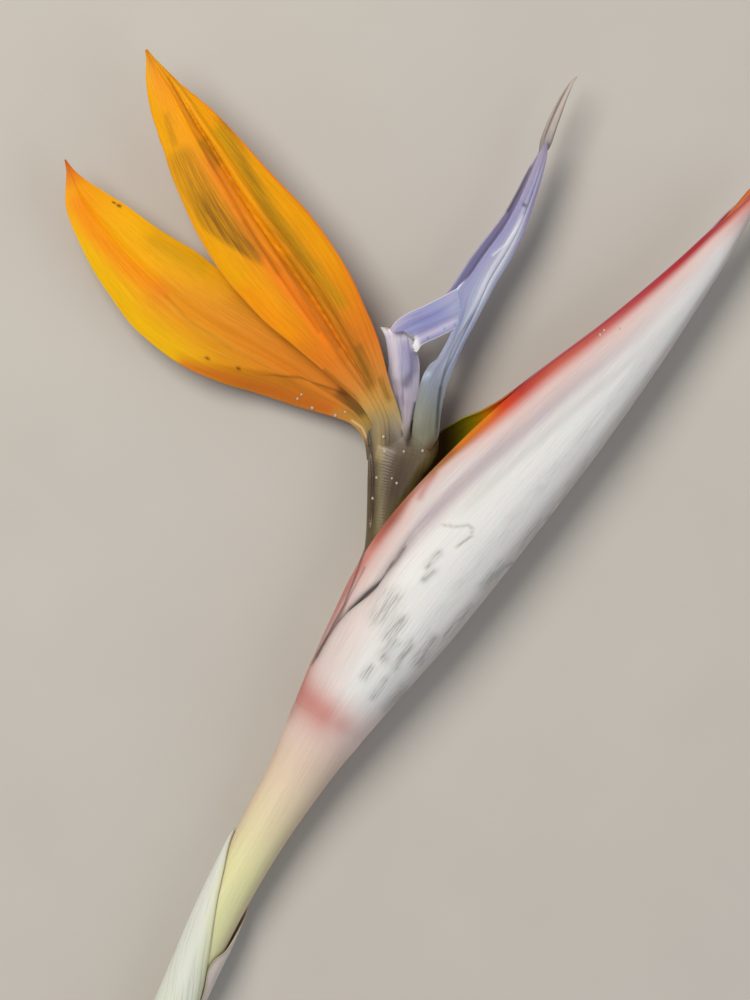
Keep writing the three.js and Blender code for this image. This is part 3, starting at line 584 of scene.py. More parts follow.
# ---------- flower base ----------
# The flower's own stalk, ovary and tube in one: watery olive tissue with fine ripples across it. It
# stands on the stalk's plug inside the spathe, and thins to a wedge where sepals and petals part.
BASE_LINE = [
    (-7.9, -45.0, 10.32), (-6.87, -43.25, 10.41), (-3.4, -34, 11), (0.2, -22, 10.9), (2.4, -11, 10.8),
    (3.6, -1, 11.0), (5.4, 8, 11.2), (6.9, 13, 11.2), (6.8, 16, 11.2), (6.8, 20, 11.4),
]
GROOVE = [(-3.5, 24), (-2.1, 19.5), (-1.25, 15), (-0.7, 10), (-0.5, 6), (-0.6, -1), (-0.9, -8)]
GROOVE_DEPTH = 0.9
GROOVE_LIP = 0.25
RIPPLE_APART = 0.75
base_line = line_through(BASE_LINE)
base_half_width = profile([
    (0, 2.6), (0.18, 3.6), (0.41, 4.5), (0.64, 5.35), (0.77, 6.7), (0.83, 7.6), (0.88, 8.6), (0.92, 9.0),
    (0.95, 8.7), (0.975, 7.6), (1, 5.4)])
base_half_depth = profile([
    (0, 2.6), (0.18, 3.5), (0.45, 3.8), (0.64, 3.9), (0.77, 4.2), (0.86, 4.25), (0.905, 3.7), (0.94, 2.7),
    (0.97, 1.7), (1, 0.8)])


def tube_colour(points):
    """The tube's watery tissue, with a painted highlight and a painted shadow line on it, which the feet of
    sepals and petals fade into.
    """
    tint = shade(points[:, 1], [
        (-45, "#6f6044"), (-14, "#5e5339"), (-4, "#5a4e36"), (4, "#564837"), (10, "#5d4f3d"),
        (13.5, "#675a49"), (17, "#756957"), (20, "#847966")])
    return washes(tint, [
        ("#7d7252", stroke(points, [(x + 1.9, y) for x, y in GROOVE], 1.1) * 0.7),
        # Painted highlight on a pale tan streak down the top of the tube.
        ("#a8936a", stroke(points, [(1.4, 26), (1.2, 16), (1.2, 11)], 1.3) * 0.7),
        ("#6b5b2c", stroke(points, [(15, 12), (10, 3), (5, -7)], 2.6) * 0.75),
        ("#4a3b31", stroke(points, [(6.0, 9), (5.5, 2)], 2.2) * 0.45),
        ("#9f9590", stroke(points, [(4.6, 20), (6.4, 15.5)], 1.1) * 0.55),
        # Painted shadow: a dark line where the hood's right edge shades the tube and the arrow's claw.
        ("#1f1711", stroke(points, [(9.4, 21.5), (9.0, 18.5), (8.3, 14)], 0.75) * 0.9),
        ("#83826f", stroke(points, [(13.2, 24), (12.9, 15.8)], 3.0) * 0.85),
        ("#5a3c1e", stroke(points, [(15.4, 17), (13.6, 12.5)], 1.2) * 0.75),
        ("#d2c0a2", stroke(points, [(4.4, 22.8), (5.6, 21), (6.9, 18.6)], 0.55) * 0.75),
        ("#5c3d22", stroke(points, [(-1.6, 8), (-1.6, -6)], 0.45) * 0.5),
    ])


flower_tube = draw_out("flower_tube", base_line, base_half_width, base_half_depth, 96, np.linspace(0, 1, 131))
points = points_of(flower_tube)
on_top = rise(points[:, 2], 10.5, 12)
groove = stroke(points, GROOVE, 0.55) * rise(points[:, 1], -9, -3)
lip = stroke(points, [(x - 1.0, y) for x, y in GROOVE], 0.6)
points[:, 2] -= on_top * (GROOVE_DEPTH * groove - GROOVE_LIP * lip)
settle(flower_tube, points)
share, to_left, upward = along_line(flower_tube, base_line)
note(flower_tube, "grain", np.stack([to_left, share * base_line.length, share], -1))
# Painted shade: darker down the groove.
tube_tint = wash(tube_colour(points), "#3a2a1a", groove * on_top * 0.6)
note(flower_tube, "tint", tube_tint)

# Watery tube tissue: glossy and a little see-through, rippled across every 0.75 mm and veined along
# every 0.8 mm. A wave pattern at scale 1 repeats every 2 pi / 20.
watery, watery_skin = new_finish(
    "watery_flower_tube", Roughness=0.3, IOR=1.38, Subsurface_Weight=0.25, Subsurface_Scale=0.0015)
watery_tint = put(watery, "ShaderNodeAttribute", {"attribute_name": "tint"})
watery_grain = put(watery, "ShaderNodeAttribute", {"attribute_name": "grain"})
watery_ripple = put(watery, "ShaderNodeTexWave", {"bands_direction": "Y"},
                    {"Vector": watery_grain.outputs["Vector"], "Scale": 2 * math.pi / 20 / RIPPLE_APART,
                     "Distortion": 4.5, "Detail": 2.0, "Detail Scale": 1.0})
watery_veins = streaks(watery, apart=0.8, length=9, detail=3.0)
watery_bands = put(watery, "ShaderNodeMapRange", None,
                   {"Value": watery_ripple.outputs["Fac"], "To Min": 0.96, "To Max": 1.04})
watery_veined = lightened(watery, watery_tint.outputs["Color"], watery_veins, 0.3, 0.7, 0.85, 1.15)
watery_colour = put(watery, "ShaderNodeVectorMath", {"operation": "SCALE"},
                    {0: watery_veined, "Scale": watery_bands.outputs[0]})
cover(watery, watery_skin, watery_colour.outputs[0], watery_ripple.outputs["Fac"], relief=0.12, deep=0.00012)
flower_tube.data.materials.append(watery)
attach(flower_tube, "root")
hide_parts("flower_base")


# ---------- front sepal ----------
# The sepal that lies uppermost: a firm orange blade with two long folds along its keel, drawn out to
# a fine tip. Its foot runs down into the flower's tube and loses its colour there.
FRONT_SEPAL_LINE = [
    (2.8, 8.5, 12.4), (3.1, 12.5, 13.7), (3.1, 16.5, 14.5), (2.9, 19.5, 14.8), (1.8, 22.6, 15.2),
    (-0.8, 27.6, 16.2), (-6.6, 37.1, 17.8), (-13.4, 46.6, 18.8), (-20.6, 55.6, 19.4), (-34.3, 73, 20.4),
    (-46.3, 92, 21.2), (-52.2, 101.2, 21.4), (-57, 112, 21.2),
]
SEPAL_WALL = 0.9
SEPAL_GRAIN = 12  # half the width that the vein pattern takes a sepal to have
front_sepal_line = line_through(FRONT_SEPAL_LINE)
front_sepal_width = profile([
    (0, 2.4), (0.05, 3.3), (0.108, 3.7), (0.146, 4.3), (0.24, 7.4), (0.335, 10.2), (0.43, 12.4),
    (0.525, 13.0), (0.62, 12.0), (0.715, 10.3), (0.81, 7.8), (0.905, 4.4), (0.95, 2.4), (0.982, 0.7),
    (1, 0.05)])
front_keel = profile([
    (0, 0.3), (0.24, 0.2), (0.43, 0.05), (0.62, -0.06), (0.81, -0.2), (0.93, -0.55), (1, -0.6)])


def lay_blade(grid, line, t, s, half_width, lift, grain_width):
    """Lays a leaf-like surface about a line, in mm: s runs from 1 at its left edge to -1 at its right."""
    place, _, left, up = line(t)
    settle(grid, place + left * (s * half_width)[:, None] + up * lift[:, None])
    note(grid, "grain", np.stack([s * grain_width, t * line.length, t], -1))


def petal_finish(name, rib_mm, fleck, roughness, glow, relief):
    """Petal skin: its points' tint, bruised and darkened in fine streaks, over fine raised veins."""
    material, skin = new_finish(
        name, Roughness=roughness, IOR=1.42, Specular_IOR_Level=0.22, Subsurface_Weight=glow,
        Subsurface_Scale=0.0015)
    tint = put(material, "ShaderNodeAttribute", {"attribute_name": "tint"})
    veins = streaks(material, rib_mm, length=12, detail=4.0, roughness=0.6)
    bruise = put(material, "ShaderNodeAttribute", {"attribute_name": "bruise"})
    blotch = put(material, "ShaderNodeMapRange", None,
                 {"Value": veins, "From Min": 0.34, "From Max": 0.66, "To Min": 1.0, "To Max": 0.5})
    bruised = put(material, "ShaderNodeMath", {"operation": "MULTIPLY"},
                  {0: bruise.outputs["Fac"], 1: blotch.outputs[0]})
    marked = put(material, "ShaderNodeMix", {"data_type": "RGBA"},
                 {0: bruised.outputs[0], 6: tint.outputs["Color"], 7: linear("#8a5f12")})
    colour = lightened(material, marked.outputs[2], veins, 0.32, 0.68, 1 - fleck, 1 + fleck / 2)
    cover(material, skin, colour, veins, relief)
    return material


front_sepal, s, t = lay_grid("front_sepal", across=100, lengthwise=230)
wide = front_sepal_width(t)
keel = front_keel(t)
from_keel = s - keel
ridges = (near(from_keel, 0.02, 0.075) + 0.9 * near(from_keel, -0.27, 0.08)
          + 0.45 * near(from_keel, -0.13, 0.03))
valleys = near(from_keel, -0.075, 0.045) + near(from_keel, -0.19, 0.045)
ribs = 0.035 * np.sin(from_keel * 47 + 2 * np.sin(from_keel * 11)) * rise(np.abs(from_keel + 0.13), 0.2, 0.4)
lift = -0.22 * wide * s ** 2 + np.minimum(wide / 8, 1) * (1.0 * ridges - 0.35 * valleys + ribs)
waves = 0.35 * np.sin(t * 19 + 1) * np.abs(s) ** 3 * rise(t, 0.2, 0.4) * rise(t, 1, 0.85)
lay_blade(front_sepal, front_sepal_line, t, s, wide, lift + waves, SEPAL_GRAIN)
points = points_of(front_sepal)
# Painted shade: brown lines in the two folds along the keel, and an olive band on the flank beside them.
keel_valley = [(-51.5, 105), (-41, 85), (-32, 69.5), (-25, 58), (-20.6, 51.5), (-14, 42)]
side_valley = [(-46, 97), (-37, 82), (-29, 68), (-22, 57), (-15.5, 47), (-9, 38)]
olive_shade_band = [(-38.9, 91.4), (-31.6, 81.1), (-25.6, 71.4), (-19.5, 63.5), (-14.1, 56.2), (-8.6, 49)]
orange = shade(t, [
    (0, "#7a6b52"), (0.1, "#a8925f"), (0.14, "#c99a4e"), (0.19, "#d58634"), (0.26, "#dc7c1e"),
    (0.36, "#e0850a"), (0.5, "#e69008"), (0.65, "#ea9a04"), (0.85, "#ee9e02"), (0.96, "#e8900a"),
    (1, "#dc7a10")])
orange = washes(orange, [
    ("#eba603", rise(s, 0.2, 0.75) * rise(t, 0.3, 0.5) * 0.8),
    ("#eaa005", rise(s, -0.4, -0.8) * rise(t, 0.3, 0.5) * 0.75),
    ("#ee8420", stroke(points, [(-41, 84), (-29, 63.5), (-17, 49), (-9, 38)], 2.2) * 0.7),
    ("#f58012", stroke(points, [(-27.5, 60.5), (-18.5, 49), (-12, 40)], 1.4) * 0.75),
    ("#f09204", stroke(points, [(-36, 55.5), (-30, 50), (-22, 41)], 3.2) * rise(t, 0.52, 0.47) * 0.85),
    # Painted shade in the keel's folds and on the flank beside them.
    ("#b4600f", stroke(points, keel_valley, 0.42) * 0.6),
    ("#a3561a", stroke(points, side_valley, 0.4) * 0.5),
    ("#b08c08", stroke(points, olive_shade_band, 1.7) * 0.6),
    ("#e8641a", rise(s, -0.92, -1) * rise(t, 0.12, 0.3) * 0.6),
    ("#d98a2a", rise(s, 0.94, 1) * rise(t, 0.12, 0.3) * 0.6),
    ("#6d4412", stroke(points, [(-12.5, 32.5), (-5, 26), (-2.2, 21)], 0.5) * 0.5),
    (tube_colour(points), rise(points[:, 1], 24, 14.5)),
])
note(front_sepal, "tint", orange)
patch = stroke(points, [(-47.5, 84), (-41.5, 73), (-35, 64.5), (-31, 61)], 4.6)
patch = rise(patch, 0.1, 0.95) * rise(points[:, 0] * 0.64 + points[:, 1], 39.2, 41)
patch = patch * rise(from_keel, 0, 0.14) * (0.62 + 0.38 * stroke(points, [(-41, 72), (-33, 63)], 6))
for mark, wide_mm, strength in [
    ([(-51.8, 95.5), (-49.8, 88.5)], 1.0, 0.42),
    ([(-38, 95), (-32, 82), (-25, 68.5), (-16.3, 57)], 1.7, 0.6),
    ([(-21, 60), (-11.5, 47.5), (-6.5, 40), (-3.2, 33)], 2.3, 0.6),
    ([(-42.6, 89), (-39.4, 83.6)], 1.3, 0.7),
    ([(-4.4, 37.5), (-1.2, 29.5)], 1.9, 1.0),
    ([(1.2, 30), (3.2, 25.5)], 1.0, 0.9),
    ([(-33, 69), (-24, 57)], 1.0, 0.5),
    ([(-12, 43), (-7, 35)], 1.2, 0.35),
]:
    patch = np.maximum(patch, stroke(points, mark, wide_mm) * strength)
note(front_sepal, "bruise", patch)
thicken(front_sepal, SEPAL_WALL)

# Sepal skin: satin and firm, with veins 0.45 mm apart that carry fine brown streaks.
sepal_skin = petal_finish("orange_sepal", rib_mm=0.45, fleck=0.12, roughness=0.42, glow=0.2, relief=0.25)
front_sepal.data.materials.append(sepal_skin)
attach(front_sepal, "root")
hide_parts("sepal_front")


# ---------- left sepal ----------
# The second sepal: a yellow and orange blade with a hollow rib, its lower edge folded down. Its foot
# narrows to a strip that is grown on to the left side of the tube.
LEFT_SEPAL_LINE = [
    (-0.6, 10.0, 10.8), (-0.9, 14.5, 10.8), (-1.9, 18.0, 10.8), (-4.4, 21.6, 11.0), (-8.0, 24.4, 11.2),
    (-16.9, 30.2, 11.6), (-25.8, 35.6, 11.8), (-44.1, 45.9, 11.9), (-59.6, 59.3, 12.3), (-66.4, 66.9, 12.8),
    (-72.8, 75, 13.4), (-77.4, 85.0, 14),
]
left_sepal_line = line_through(LEFT_SEPAL_LINE)
left_sepal_width = profile([
    (0, 1.2), (0.05, 1.6), (0.09, 2.3), (0.135, 3.5), (0.24, 6.9), (0.335, 9.3), (0.43, 11.4), (0.52, 12.4),
    (0.615, 12.2), (0.71, 10.3), (0.81, 8.0), (0.9, 4.9), (0.945, 2.3), (0.973, 0.8), (1, 0.05)])
left_fold = profile([(0, -0.6), (0.14, -0.5), (0.24, 0), (0.41, 0.58), (0.52, 0.8), (1, 0.9)])
left_fold_drop = profile([(0, 0.2), (0.14, 0.5), (0.33, 0.6), (0.48, 0.15), (0.57, 0), (1, 0)])
left_sepal, s, t = lay_grid("left_sepal", across=90, lengthwise=220)
wide = left_sepal_width(t)
beyond = np.maximum(s - left_fold(t), 0) * wide
small = np.minimum(wide / 8, 1)
lift = (-0.16 * wide * s ** 2 - left_fold_drop(t) * beyond - 0.55 * small * near(s, 0, 0.1)
        + 0.18 * small * (near(s, 0.22, 0.09) + near(s, -0.22, 0.09)))
waves = 0.3 * np.sin(t * 17) * np.abs(s) ** 3 * rise(t, 0.3, 0.5) * rise(t, 1, 0.85)
lay_blade(left_sepal, left_sepal_line, t, s, wide, lift + waves, SEPAL_GRAIN)
points = points_of(left_sepal)
folded_edge = [(-48, 33.6), (-38, 31.0), (-26, 27.6), (-12, 23.2)]
fold_line = [(-31, 31.6), (-25, 31.5), (-19, 30.6), (-13, 28.8), (-7, 26.3)]
yellow = shade(t, [
    (0, "#6f5f42"), (0.06, "#8f7a4c"), (0.1, "#b8903f"), (0.16, "#d0822e"), (0.3, "#cf811a"),
    (0.45, "#d8930f"), (0.6, "#eaa604"), (0.8, "#efac02"), (0.93, "#ee9c06"), (0.97, "#dc7414"),
    (1, "#c0601c")])
yellow = washes(yellow, [
    ("#e9b602", rise(s, 0.35, 0.8) * rise(t, 0.42, 0.55) * rise(t, 0.98, 0.8) * 0.75),
    ("#ee8a08", stroke(points, [(-74, 74), (-70, 67), (-62, 58.5), (-54, 52.5)], 2.6) * 0.8),
    ("#d97d22", stroke(points, [(-52, 51), (-40, 45.5), (-24, 35), (-12, 27.5)], 5.0) * 0.55),
    ("#c4930c", stroke(points, [(-55, 64.5), (-44, 58)], 2.6) * 0.55),
    # Painted shadow cast by the front sepal.
    ("#cb8114", stroke(points, [(-34, 50), (-24, 43.5), (-14, 36)], 3.2) * 0.5),
    ("#d2701f", stroke(points, folded_edge, 2.0) * rise(t, 0.62, 0.5) * 0.85),
    ("#a87210", stroke(points, [(-52.5, 51), (-47, 45), (-36, 38)], 0.5) * 0.3),
    ("#7d4a14", stroke(points, fold_line, 0.2) * rise(points[:, 0], -31, -22) * 0.7),
    # Painted shadow under the front sepal's foot.
    ("#3d2a12", stroke(points, [(-8.5, 26.8), (-3.4, 22)], 1.4) * 0.7),
    ("#c98c3e", stroke(points, [(-10, 21.9), (-4.6, 18.9), (-2.2, 15)], 0.9) * 0.6),
    # Painted highlight along the strip of its foot.
    ("#ecd9b0", stroke(points, [(-5.5, 20.0), (-3.0, 18.2), (-1.9, 15.5)], 0.26) * 0.6),
    (tube_colour(points), rise(points[:, 1], 17.5, 12)),
])
for spot, size in [((-42.1, 35.6), 0.34), ((-34.4, 33.2), 0.3), ((-64.3, 73.6), 0.38), ((-65.6, 74.4), 0.24)]:
    yellow = wash(yellow, "#5b2c12", stroke(points, [spot, (spot[0] + 0.5, spot[1] - 0.2)], size) * 0.95)
note(left_sepal, "tint", yellow)
thicken(left_sepal, SEPAL_WALL)
left_sepal.data.materials.append(sepal_skin)
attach(left_sepal, "root")
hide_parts("sepal_left")


# ---------- back sepal ----------
# The third sepal lies underneath, against the table: a plainer orange blade of the same firm tissue,
# with its edges curled up. Its foot is grown into the tube.
BACK_SEPAL_LINE = [
    (4.4, 12.0, 8.9), (4.4, 16.1, 8.4), (4.4, 18.5, 8.2), (2.8, 22, 7.5), (-2.5, 30, 5.6), (-12.5, 45, 2.8),
    (-24, 60, 1.0), (-35, 76, 0.45), (-44, 92, 1.4), (-50, 103, 2.9),
]
back_sepal_line = line_through(BACK_SEPAL_LINE)
back_sepal_width = profile([
    (0, 2.2), (0.04, 2.6), (0.155, 3.8), (0.33, 7.2), (0.52, 9.6), (0.71, 8.2), (0.875, 4.4), (0.96, 1.7),
    (1, 0.12)])
back_sepal, s, t = lay_grid("back_sepal", across=60, lengthwise=170)
wide = back_sepal_width(t)
lift = 0.2 * wide * s ** 2 + 0.3 * np.minimum(wide / 8, 1) * near(s, 0, 0.12)
lay_blade(back_sepal, back_sepal_line, t, s, wide, lift, grain_width=10)
orange = shade(t, [
    (0, "#7a6b52"), (0.06, "#a38a58"), (0.14, "#d08a3c"), (0.3, "#dc7f22"), (0.6, "#e6900a"),
    (0.9, "#eb9a06"), (1, "#c86a18")])
orange = wash(orange, "#e9a406", rise(np.abs(s), 0.4, 0.9) * rise(t, 0.3, 0.5) * 0.7)
note(back_sepal, "tint", wash(orange, tube_colour(points_of(back_sepal)), rise(t, 0.12, 0.04)))
thicken(back_sepal, SEPAL_WALL)
back_sepal.data.materials.append(sepal_skin)
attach(back_sepal, "root")
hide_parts("sepal_back")


# ---------- arrow petals ----------
# Two blue petals grown together round style and stamens: a stiff claw below, then the two halves of
# an arrow's head, each a thin cupped blade. The front half's barb is bent aside and torn at its end.
ARROW_LINE = [
    (11.7, 11.0, 11.3), (12.0, 15.0, 11.3), (12.4, 18.6, 11.3), (13.5, 24, 11.3), (15.9, 31, 11.3),
    (19.6, 38.6, 11.3), (23.0, 46, 11.3), (27.2, 56.5, 11.3), (33.6, 67.2, 11.3), (37.9, 76.6, 11.3),
    (40.6, 83.4, 11.3), (42.9, 89.6, 11.3),
]
PETAL_WALL = 0.7
ARROW_APART = 2.0  # from the arrow's line to each of its halves
PETAL_GRAIN = 4  # half the width that the vein pattern takes a petal to have
arrow_line = line_through(ARROW_LINE)
arrow_front_left = profile([
    (0, 2.2), (0.04, 2.6), (0.14, 3.1), (0.225, 3.5), (0.262, 3.0), (0.285, 2.0), (0.35, 1.8),
    (0.425, 2.8), (0.498, 4.7), (0.53, 3.7), (0.568, 2.8), (0.66, 2.1), (0.757, 1.4), (0.835, 1.05),
    (0.935, 0.8), (1, 0.15)])
arrow_front_right = profile([
    (0, 1.4), (0.03, 2.4), (0.07, 3.7), (0.14, 3.3), (0.255, 2.5), (0.35, 2.1), (0.445, 2.6),
    (0.52, 3.4), (0.615, 3.9), (0.73, 3.3), (0.855, 2.3), (0.95, 1.4), (1, 0.2)])
arrow_back_left = profile([
    (0, 2.0), (0.14, 2.5), (0.28, 1.9), (0.385, 2.0), (0.42, 4.2), (0.45, 7.4), (0.5, 6.3), (0.56, 5.2),
    (0.61, 4.7), (0.7, 3.9), (0.785, 2.8), (0.863, 2.2), (0.93, 1.5), (0.97, 0.8), (1, 0.12)])
arrow_back_right = profile([
    (0, 3.0), (0.14, 3.0), (0.33, 2.0), (0.475, 2.4), (0.62, 3.3), (0.81, 2.3), (0.95, 1.0), (1, 0.12)])


def arrow_half(name, left_width, right_width, side, across, lengthwise):
    """Lays one half of the arrow: side is 1 for the half in front of the style, -1 for the other."""
    grid, s, t = lay_grid(name, across, lengthwise)
    wide = np.where(s > 0, left_width(t), right_width(t))
    closing = np.minimum(0.22 * wide, 1.3)
    ridges = 0.16 * (near(s, -0.35, 0.12) + near(s, -0.75, 0.09)) - 0.14 * near(s, -0.55, 0.09)
    ridges = ridges * rise(t, 0.2, 0.35) * rise(t, 0.98, 0.85)
    spread = 0.65 * rise(t, 0.16, 0.07) - 1.5 * rise(t, 0.025, 0)
    lift = side * (ARROW_APART + spread - closing * s ** 2 + ridges)
    lay_blade(grid, arrow_line, t, s, wide, lift, PETAL_GRAIN)
    return grid, s, t


def join(first, other):
    """Makes the second mesh part of the first."""
    bpy.ops.object.select_all(action="DESELECT")
    first.select_set(True)
    other.select_set(True)
    bpy.context.view_layer.objects.active = first
    bpy.ops.object.join()
    bpy.ops.object.select_all(action="DESELECT")


arrow_front, s, t = arrow_half("front_arrow_petal", arrow_front_left, arrow_front_right, 1, 56, 210)
points = points_of(arrow_front)
claw_seam = [
    (15.1, 15.5), (15.7, 23.8), (16.3, 28.1), (17.4, 32.4), (18.8, 36.4), (21.4, 41.6), (23.7, 45.3),
    (26.3, 49.9)]
violet = shade(t, [
    (0, "#625d4c"), (0.05, "#74735f"), (0.12, "#7b7e72"), (0.2, "#838992"), (0.28, "#8f96aa"),
    (0.38, "#989eb6"), (0.5, "#a4a8c0"), (0.6, "#a3a4be"), (0.75, "#9693b6"), (0.9, "#9b96b0"),
    (1, "#9d94aa")])
violet = washes(violet, [
    ("#8687b4", rise(s, 0.0, 0.6) * rise(t, 0.3, 0.45) * rise(t, 0.9, 0.7) * 0.75),
    ("#d6dbe2", near(s, -0.45, 0.3) * rise(t, 0.4, 0.55) * rise(t, 0.85, 0.7) * 0.8),
    # Painted highlight down the claw.
    ("#c3cbdc", near(s, -0.1, 0.12) * rise(t, 0.22, 0.32) * rise(t, 0.55, 0.42) * 0.7),
    ("#6b7394", near(s, 0.35, 0.12) * rise(t, 0.16, 0.26) * rise(t, 0.5, 0.4) * 0.6),
    ("#5c6484", near(s, -0.5, 0.07) * rise(t, 0.42, 0.5) * rise(t, 0.95, 0.6) * 0.5),
    # Painted shade along the right edge.
    ("#5a617c", rise(s, -0.9, -1) * rise(t, 0.25, 0.35) * 0.55),
    ("#eceef2", stroke(points, [(29.5, 61.2), (32.6, 63.8), (35.3, 67.9), (37, 71)], 0.3) * 0.5),
    ("#f1eef2", rise(s, 0.86, 0.98) * rise(t, 0.4, 0.46) * rise(t, 0.54, 0.51) * 0.8),
    # Painted shade along the left edge, where it lies over the back half.
    ("#2c2a42", rise(s, 0.84, 0.97) * rise(t, 0.51, 0.55) * rise(t, 0.97, 0.9) * 0.85),
    ("#4a4e58", stroke(points, claw_seam, 0.34) * rise(points[:, 1], 51, 42) * 0.65),
    ("#2e2f30", stroke(points, claw_seam[:3], 0.45) * rise(points[:, 1], 15, 19) * 0.5),
    ("#b7d0e8", stroke(points, [(11.6, 30.4), (13.2, 31.4)], 0.8) * 0.5),
    ("#33324e", stroke(points, [(37.2, 73.8), (37.4, 73.6)], 0.4) * 0.9),
    ("#7b7a88", rise(t, 0.95, 1) * 0.5),
    (tube_colour(points), rise(points[:, 1], 18.5, 13)),
])
note(arrow_front, "tint", violet)
thicken(arrow_front, PETAL_WALL)

# Blue petal skin: thin, smooth and slightly translucent, with lengthwise veins 0.5 mm apart.
petal_skin = petal_finish("blue_violet_petal", rib_mm=0.5, fleck=0.14, roughness=0.38, glow=0.35, relief=0.3)
arrow_front.data.materials.append(petal_skin)

BARB_LINE = [(24.4, 50.2, 12.3), (18, 46.7, 13.6), (13.1, 44.3, 13.9), (9.4, 42.9, 13.8), (4.9, 40.6, 13.6)]
BARB_STRANDS = 61  # across its torn end
barb_line = line_through(BARB_LINE)
barb_upper_width = profile([(0, 4.2), (0.3, 4.2), (0.6, 4.15), (0.85, 3.7), (0.95, 3.0), (1, 2.3)])
barb_lower_width = profile([
    (0, 4.2), (0.3, 4.2), (0.62, 4.3), (0.76, 4.7), (0.83, 5.5), (0.9, 5.8), (1, 5.8)])
barb, s, t = lay_grid("barb", across=60, lengthwise=110)
fray = np.random.default_rng(5).uniform(-1, 1, BARB_STRANDS)  # how far each strand runs out
strand = np.interp(s, np.linspace(-1, 1, BARB_STRANDS), fray)
torn = 1 - 0.2 * rise(s, -0.7, 0.42) - 0.02 * strand * rise(s, -0.6, 0.2) + 0.07 * rise(s, 0.5, 0.75)
t = t * torn
wide = np.where(s > 0, barb_lower_width(t), barb_upper_width(t))
curl = 0.7 * rise(t, 0.72, 0.95) * rise(s, 0.1, 0.9)
lift = -0.12 * wide * s ** 2 - curl + 0.12 * np.sin(s * 9) * rise(t, 0.1, 0.3)
lay_blade(barb, barb_line, t, s, wide, lift, PETAL_GRAIN)
specks = rise(np.sin(t * 61) + np.sin(t * 97 + 2), 1.0, 1.8)
violet = shade(t, [
    (0, "#a4a8c2"), (0.22, "#a2a5c4"), (0.45, "#9798c2"), (0.65, "#8f90bd"), (0.85, "#a19dbd"),
    (1, "#b3a9bd")])
violet = washes(violet, [
    ("#7f83b8", near(s, -0.1, 0.4) * rise(t, 0.25, 0.5) * 0.7),
    ("#c4bcd2", near(s, 0.62, 0.22) * rise(t, 0.1, 0.35) * 0.8),
    ("#ece8ee", rise(np.abs(s), 0.93, 0.99) * 0.75),
    ("#f1eeee", rise(t, 0.72, 0.8) * rise(s, 0.25, 0.6) * 0.95),
    ("#3c3c5c", near(s, 0.8 + 0.06 * np.sin(t * 40), 0.05) * specks * rise(t, 0.8, 0.7) * 0.7),
])
note(barb, "tint", violet)
thicken(barb, PETAL_WALL)
barb.data.materials.append(petal_skin)
join(arrow_front, barb)
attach(arrow_front, "root")
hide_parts("arrow_petal_front")

arrow_back, s, t = arrow_half("back_arrow_petal", arrow_back_left, arrow_back_right, -1, 50, 200)
points = points_of(arrow_back)
violet = shade(t, [
    (0, "#6f6a58"), (0.12, "#7c8080"), (0.3, "#9296b2"), (0.5, "#8f8dbb"), (0.65, "#8d8ab5"),
    (0.8, "#938fae"), (0.92, "#968ea6"), (1, "#8b8294")])
violet = washes(violet, [
    ("#5d597c", near(s, 0.62, 0.07) * rise(t, 0.48, 0.58) * rise(t, 0.9, 0.75) * 0.6),
    ("#c4c1cf", rise(s, 0.88, 0.98) * rise(t, 0.42, 0.5) * 0.6),
    # Painted shade where the front half's left edge lies over it.
    ("#3c3844", stroke(points, [(33.2, 72.4), (36.2, 78), (38.6, 83.4)], 0.5) * 0.6),
])
note(arrow_back, "tint", violet)
thicken(arrow_back, PETAL_WALL)
arrow_back.data.materials.append(petal_skin)
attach(arrow_back, "root")
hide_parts("arrow_petal_back")


# ---------- hood petal ----------
# The third petal: a short hood over the arrow's foot, pale violet and torn white across its top. Painted
# shade darkens its right side, where it curls inward, and a painted highlight runs down its left. Its narrow
# foot is grown into the tube.
HOOD_LINE = [
    (8.1, 11.6, 12.4), (7.9, 14.6, 14.1), (7.6, 18, 14.2), (7.3, 22, 13.1), (7.4, 27, 12.1), (7.2, 31, 11.7),
    (7.2, 35, 11.5), (6.8, 39.2, 11.4), (6.0, 44.4, 11.5),
]
HOOD_STRANDS = 57  # across its torn top
hood_line = line_through(HOOD_LINE)
hood_left = profile([
    (0, 0.3), (0.1, 0.5), (0.2, 0.9), (0.3, 1.7), (0.4, 2.7), (0.5, 3.5), (0.58, 3.9), (0.68, 3.7),
    (0.8, 3.8), (0.9, 3.9), (0.95, 4.3), (1, 5.0)])
hood_right = profile([
    (0, 0.3), (0.1, 0.8), (0.18, 1.0), (0.31, 2.2), (0.43, 3.0), (0.54, 3.7), (0.66, 3.9), (0.79, 3.2),
    (1, 2.6)])
hood, s, t = lay_grid("torn_hood_petal", across=56, lengthwise=120)
fray = np.random.default_rng(8).uniform(-1, 1, HOOD_STRANDS)
strand = np.interp(s, np.linspace(-1, 1, HOOD_STRANDS), fray)
torn = (0.035 * rise(s, 0.95, 0.3) + 0.03 * rise(s, 0.2, -0.3) + 0.05 * rise(s, -0.3, -0.8)
        + 0.09 * rise(s, -0.75, -1))
t = t * (0.985 - 0.008 * strand - torn)
wide = np.where(s > 0, hood_left(t), hood_right(t))
folds = 0.22 * near(s, 0.35, 0.16) - 0.2 * near(s, 0.05, 0.15) + 0.12 * np.sin(s * 14) * rise(t, 0.5, 0.9)
lay_blade(hood, hood_line, t, s, wide, -0.14 * wide * s ** 2 + folds * rise(t, 0.2, 0.5), PETAL_GRAIN)
points = points_of(hood)
pale = shade(t, [
    (0, "#71644f"), (0.12, "#8b7f72"), (0.25, "#a3989a"), (0.4, "#a299a8"), (0.6, "#b2acbf"),
    (0.8, "#bcbacf"), (0.93, "#d3d0de"), (1, "#efecef")])
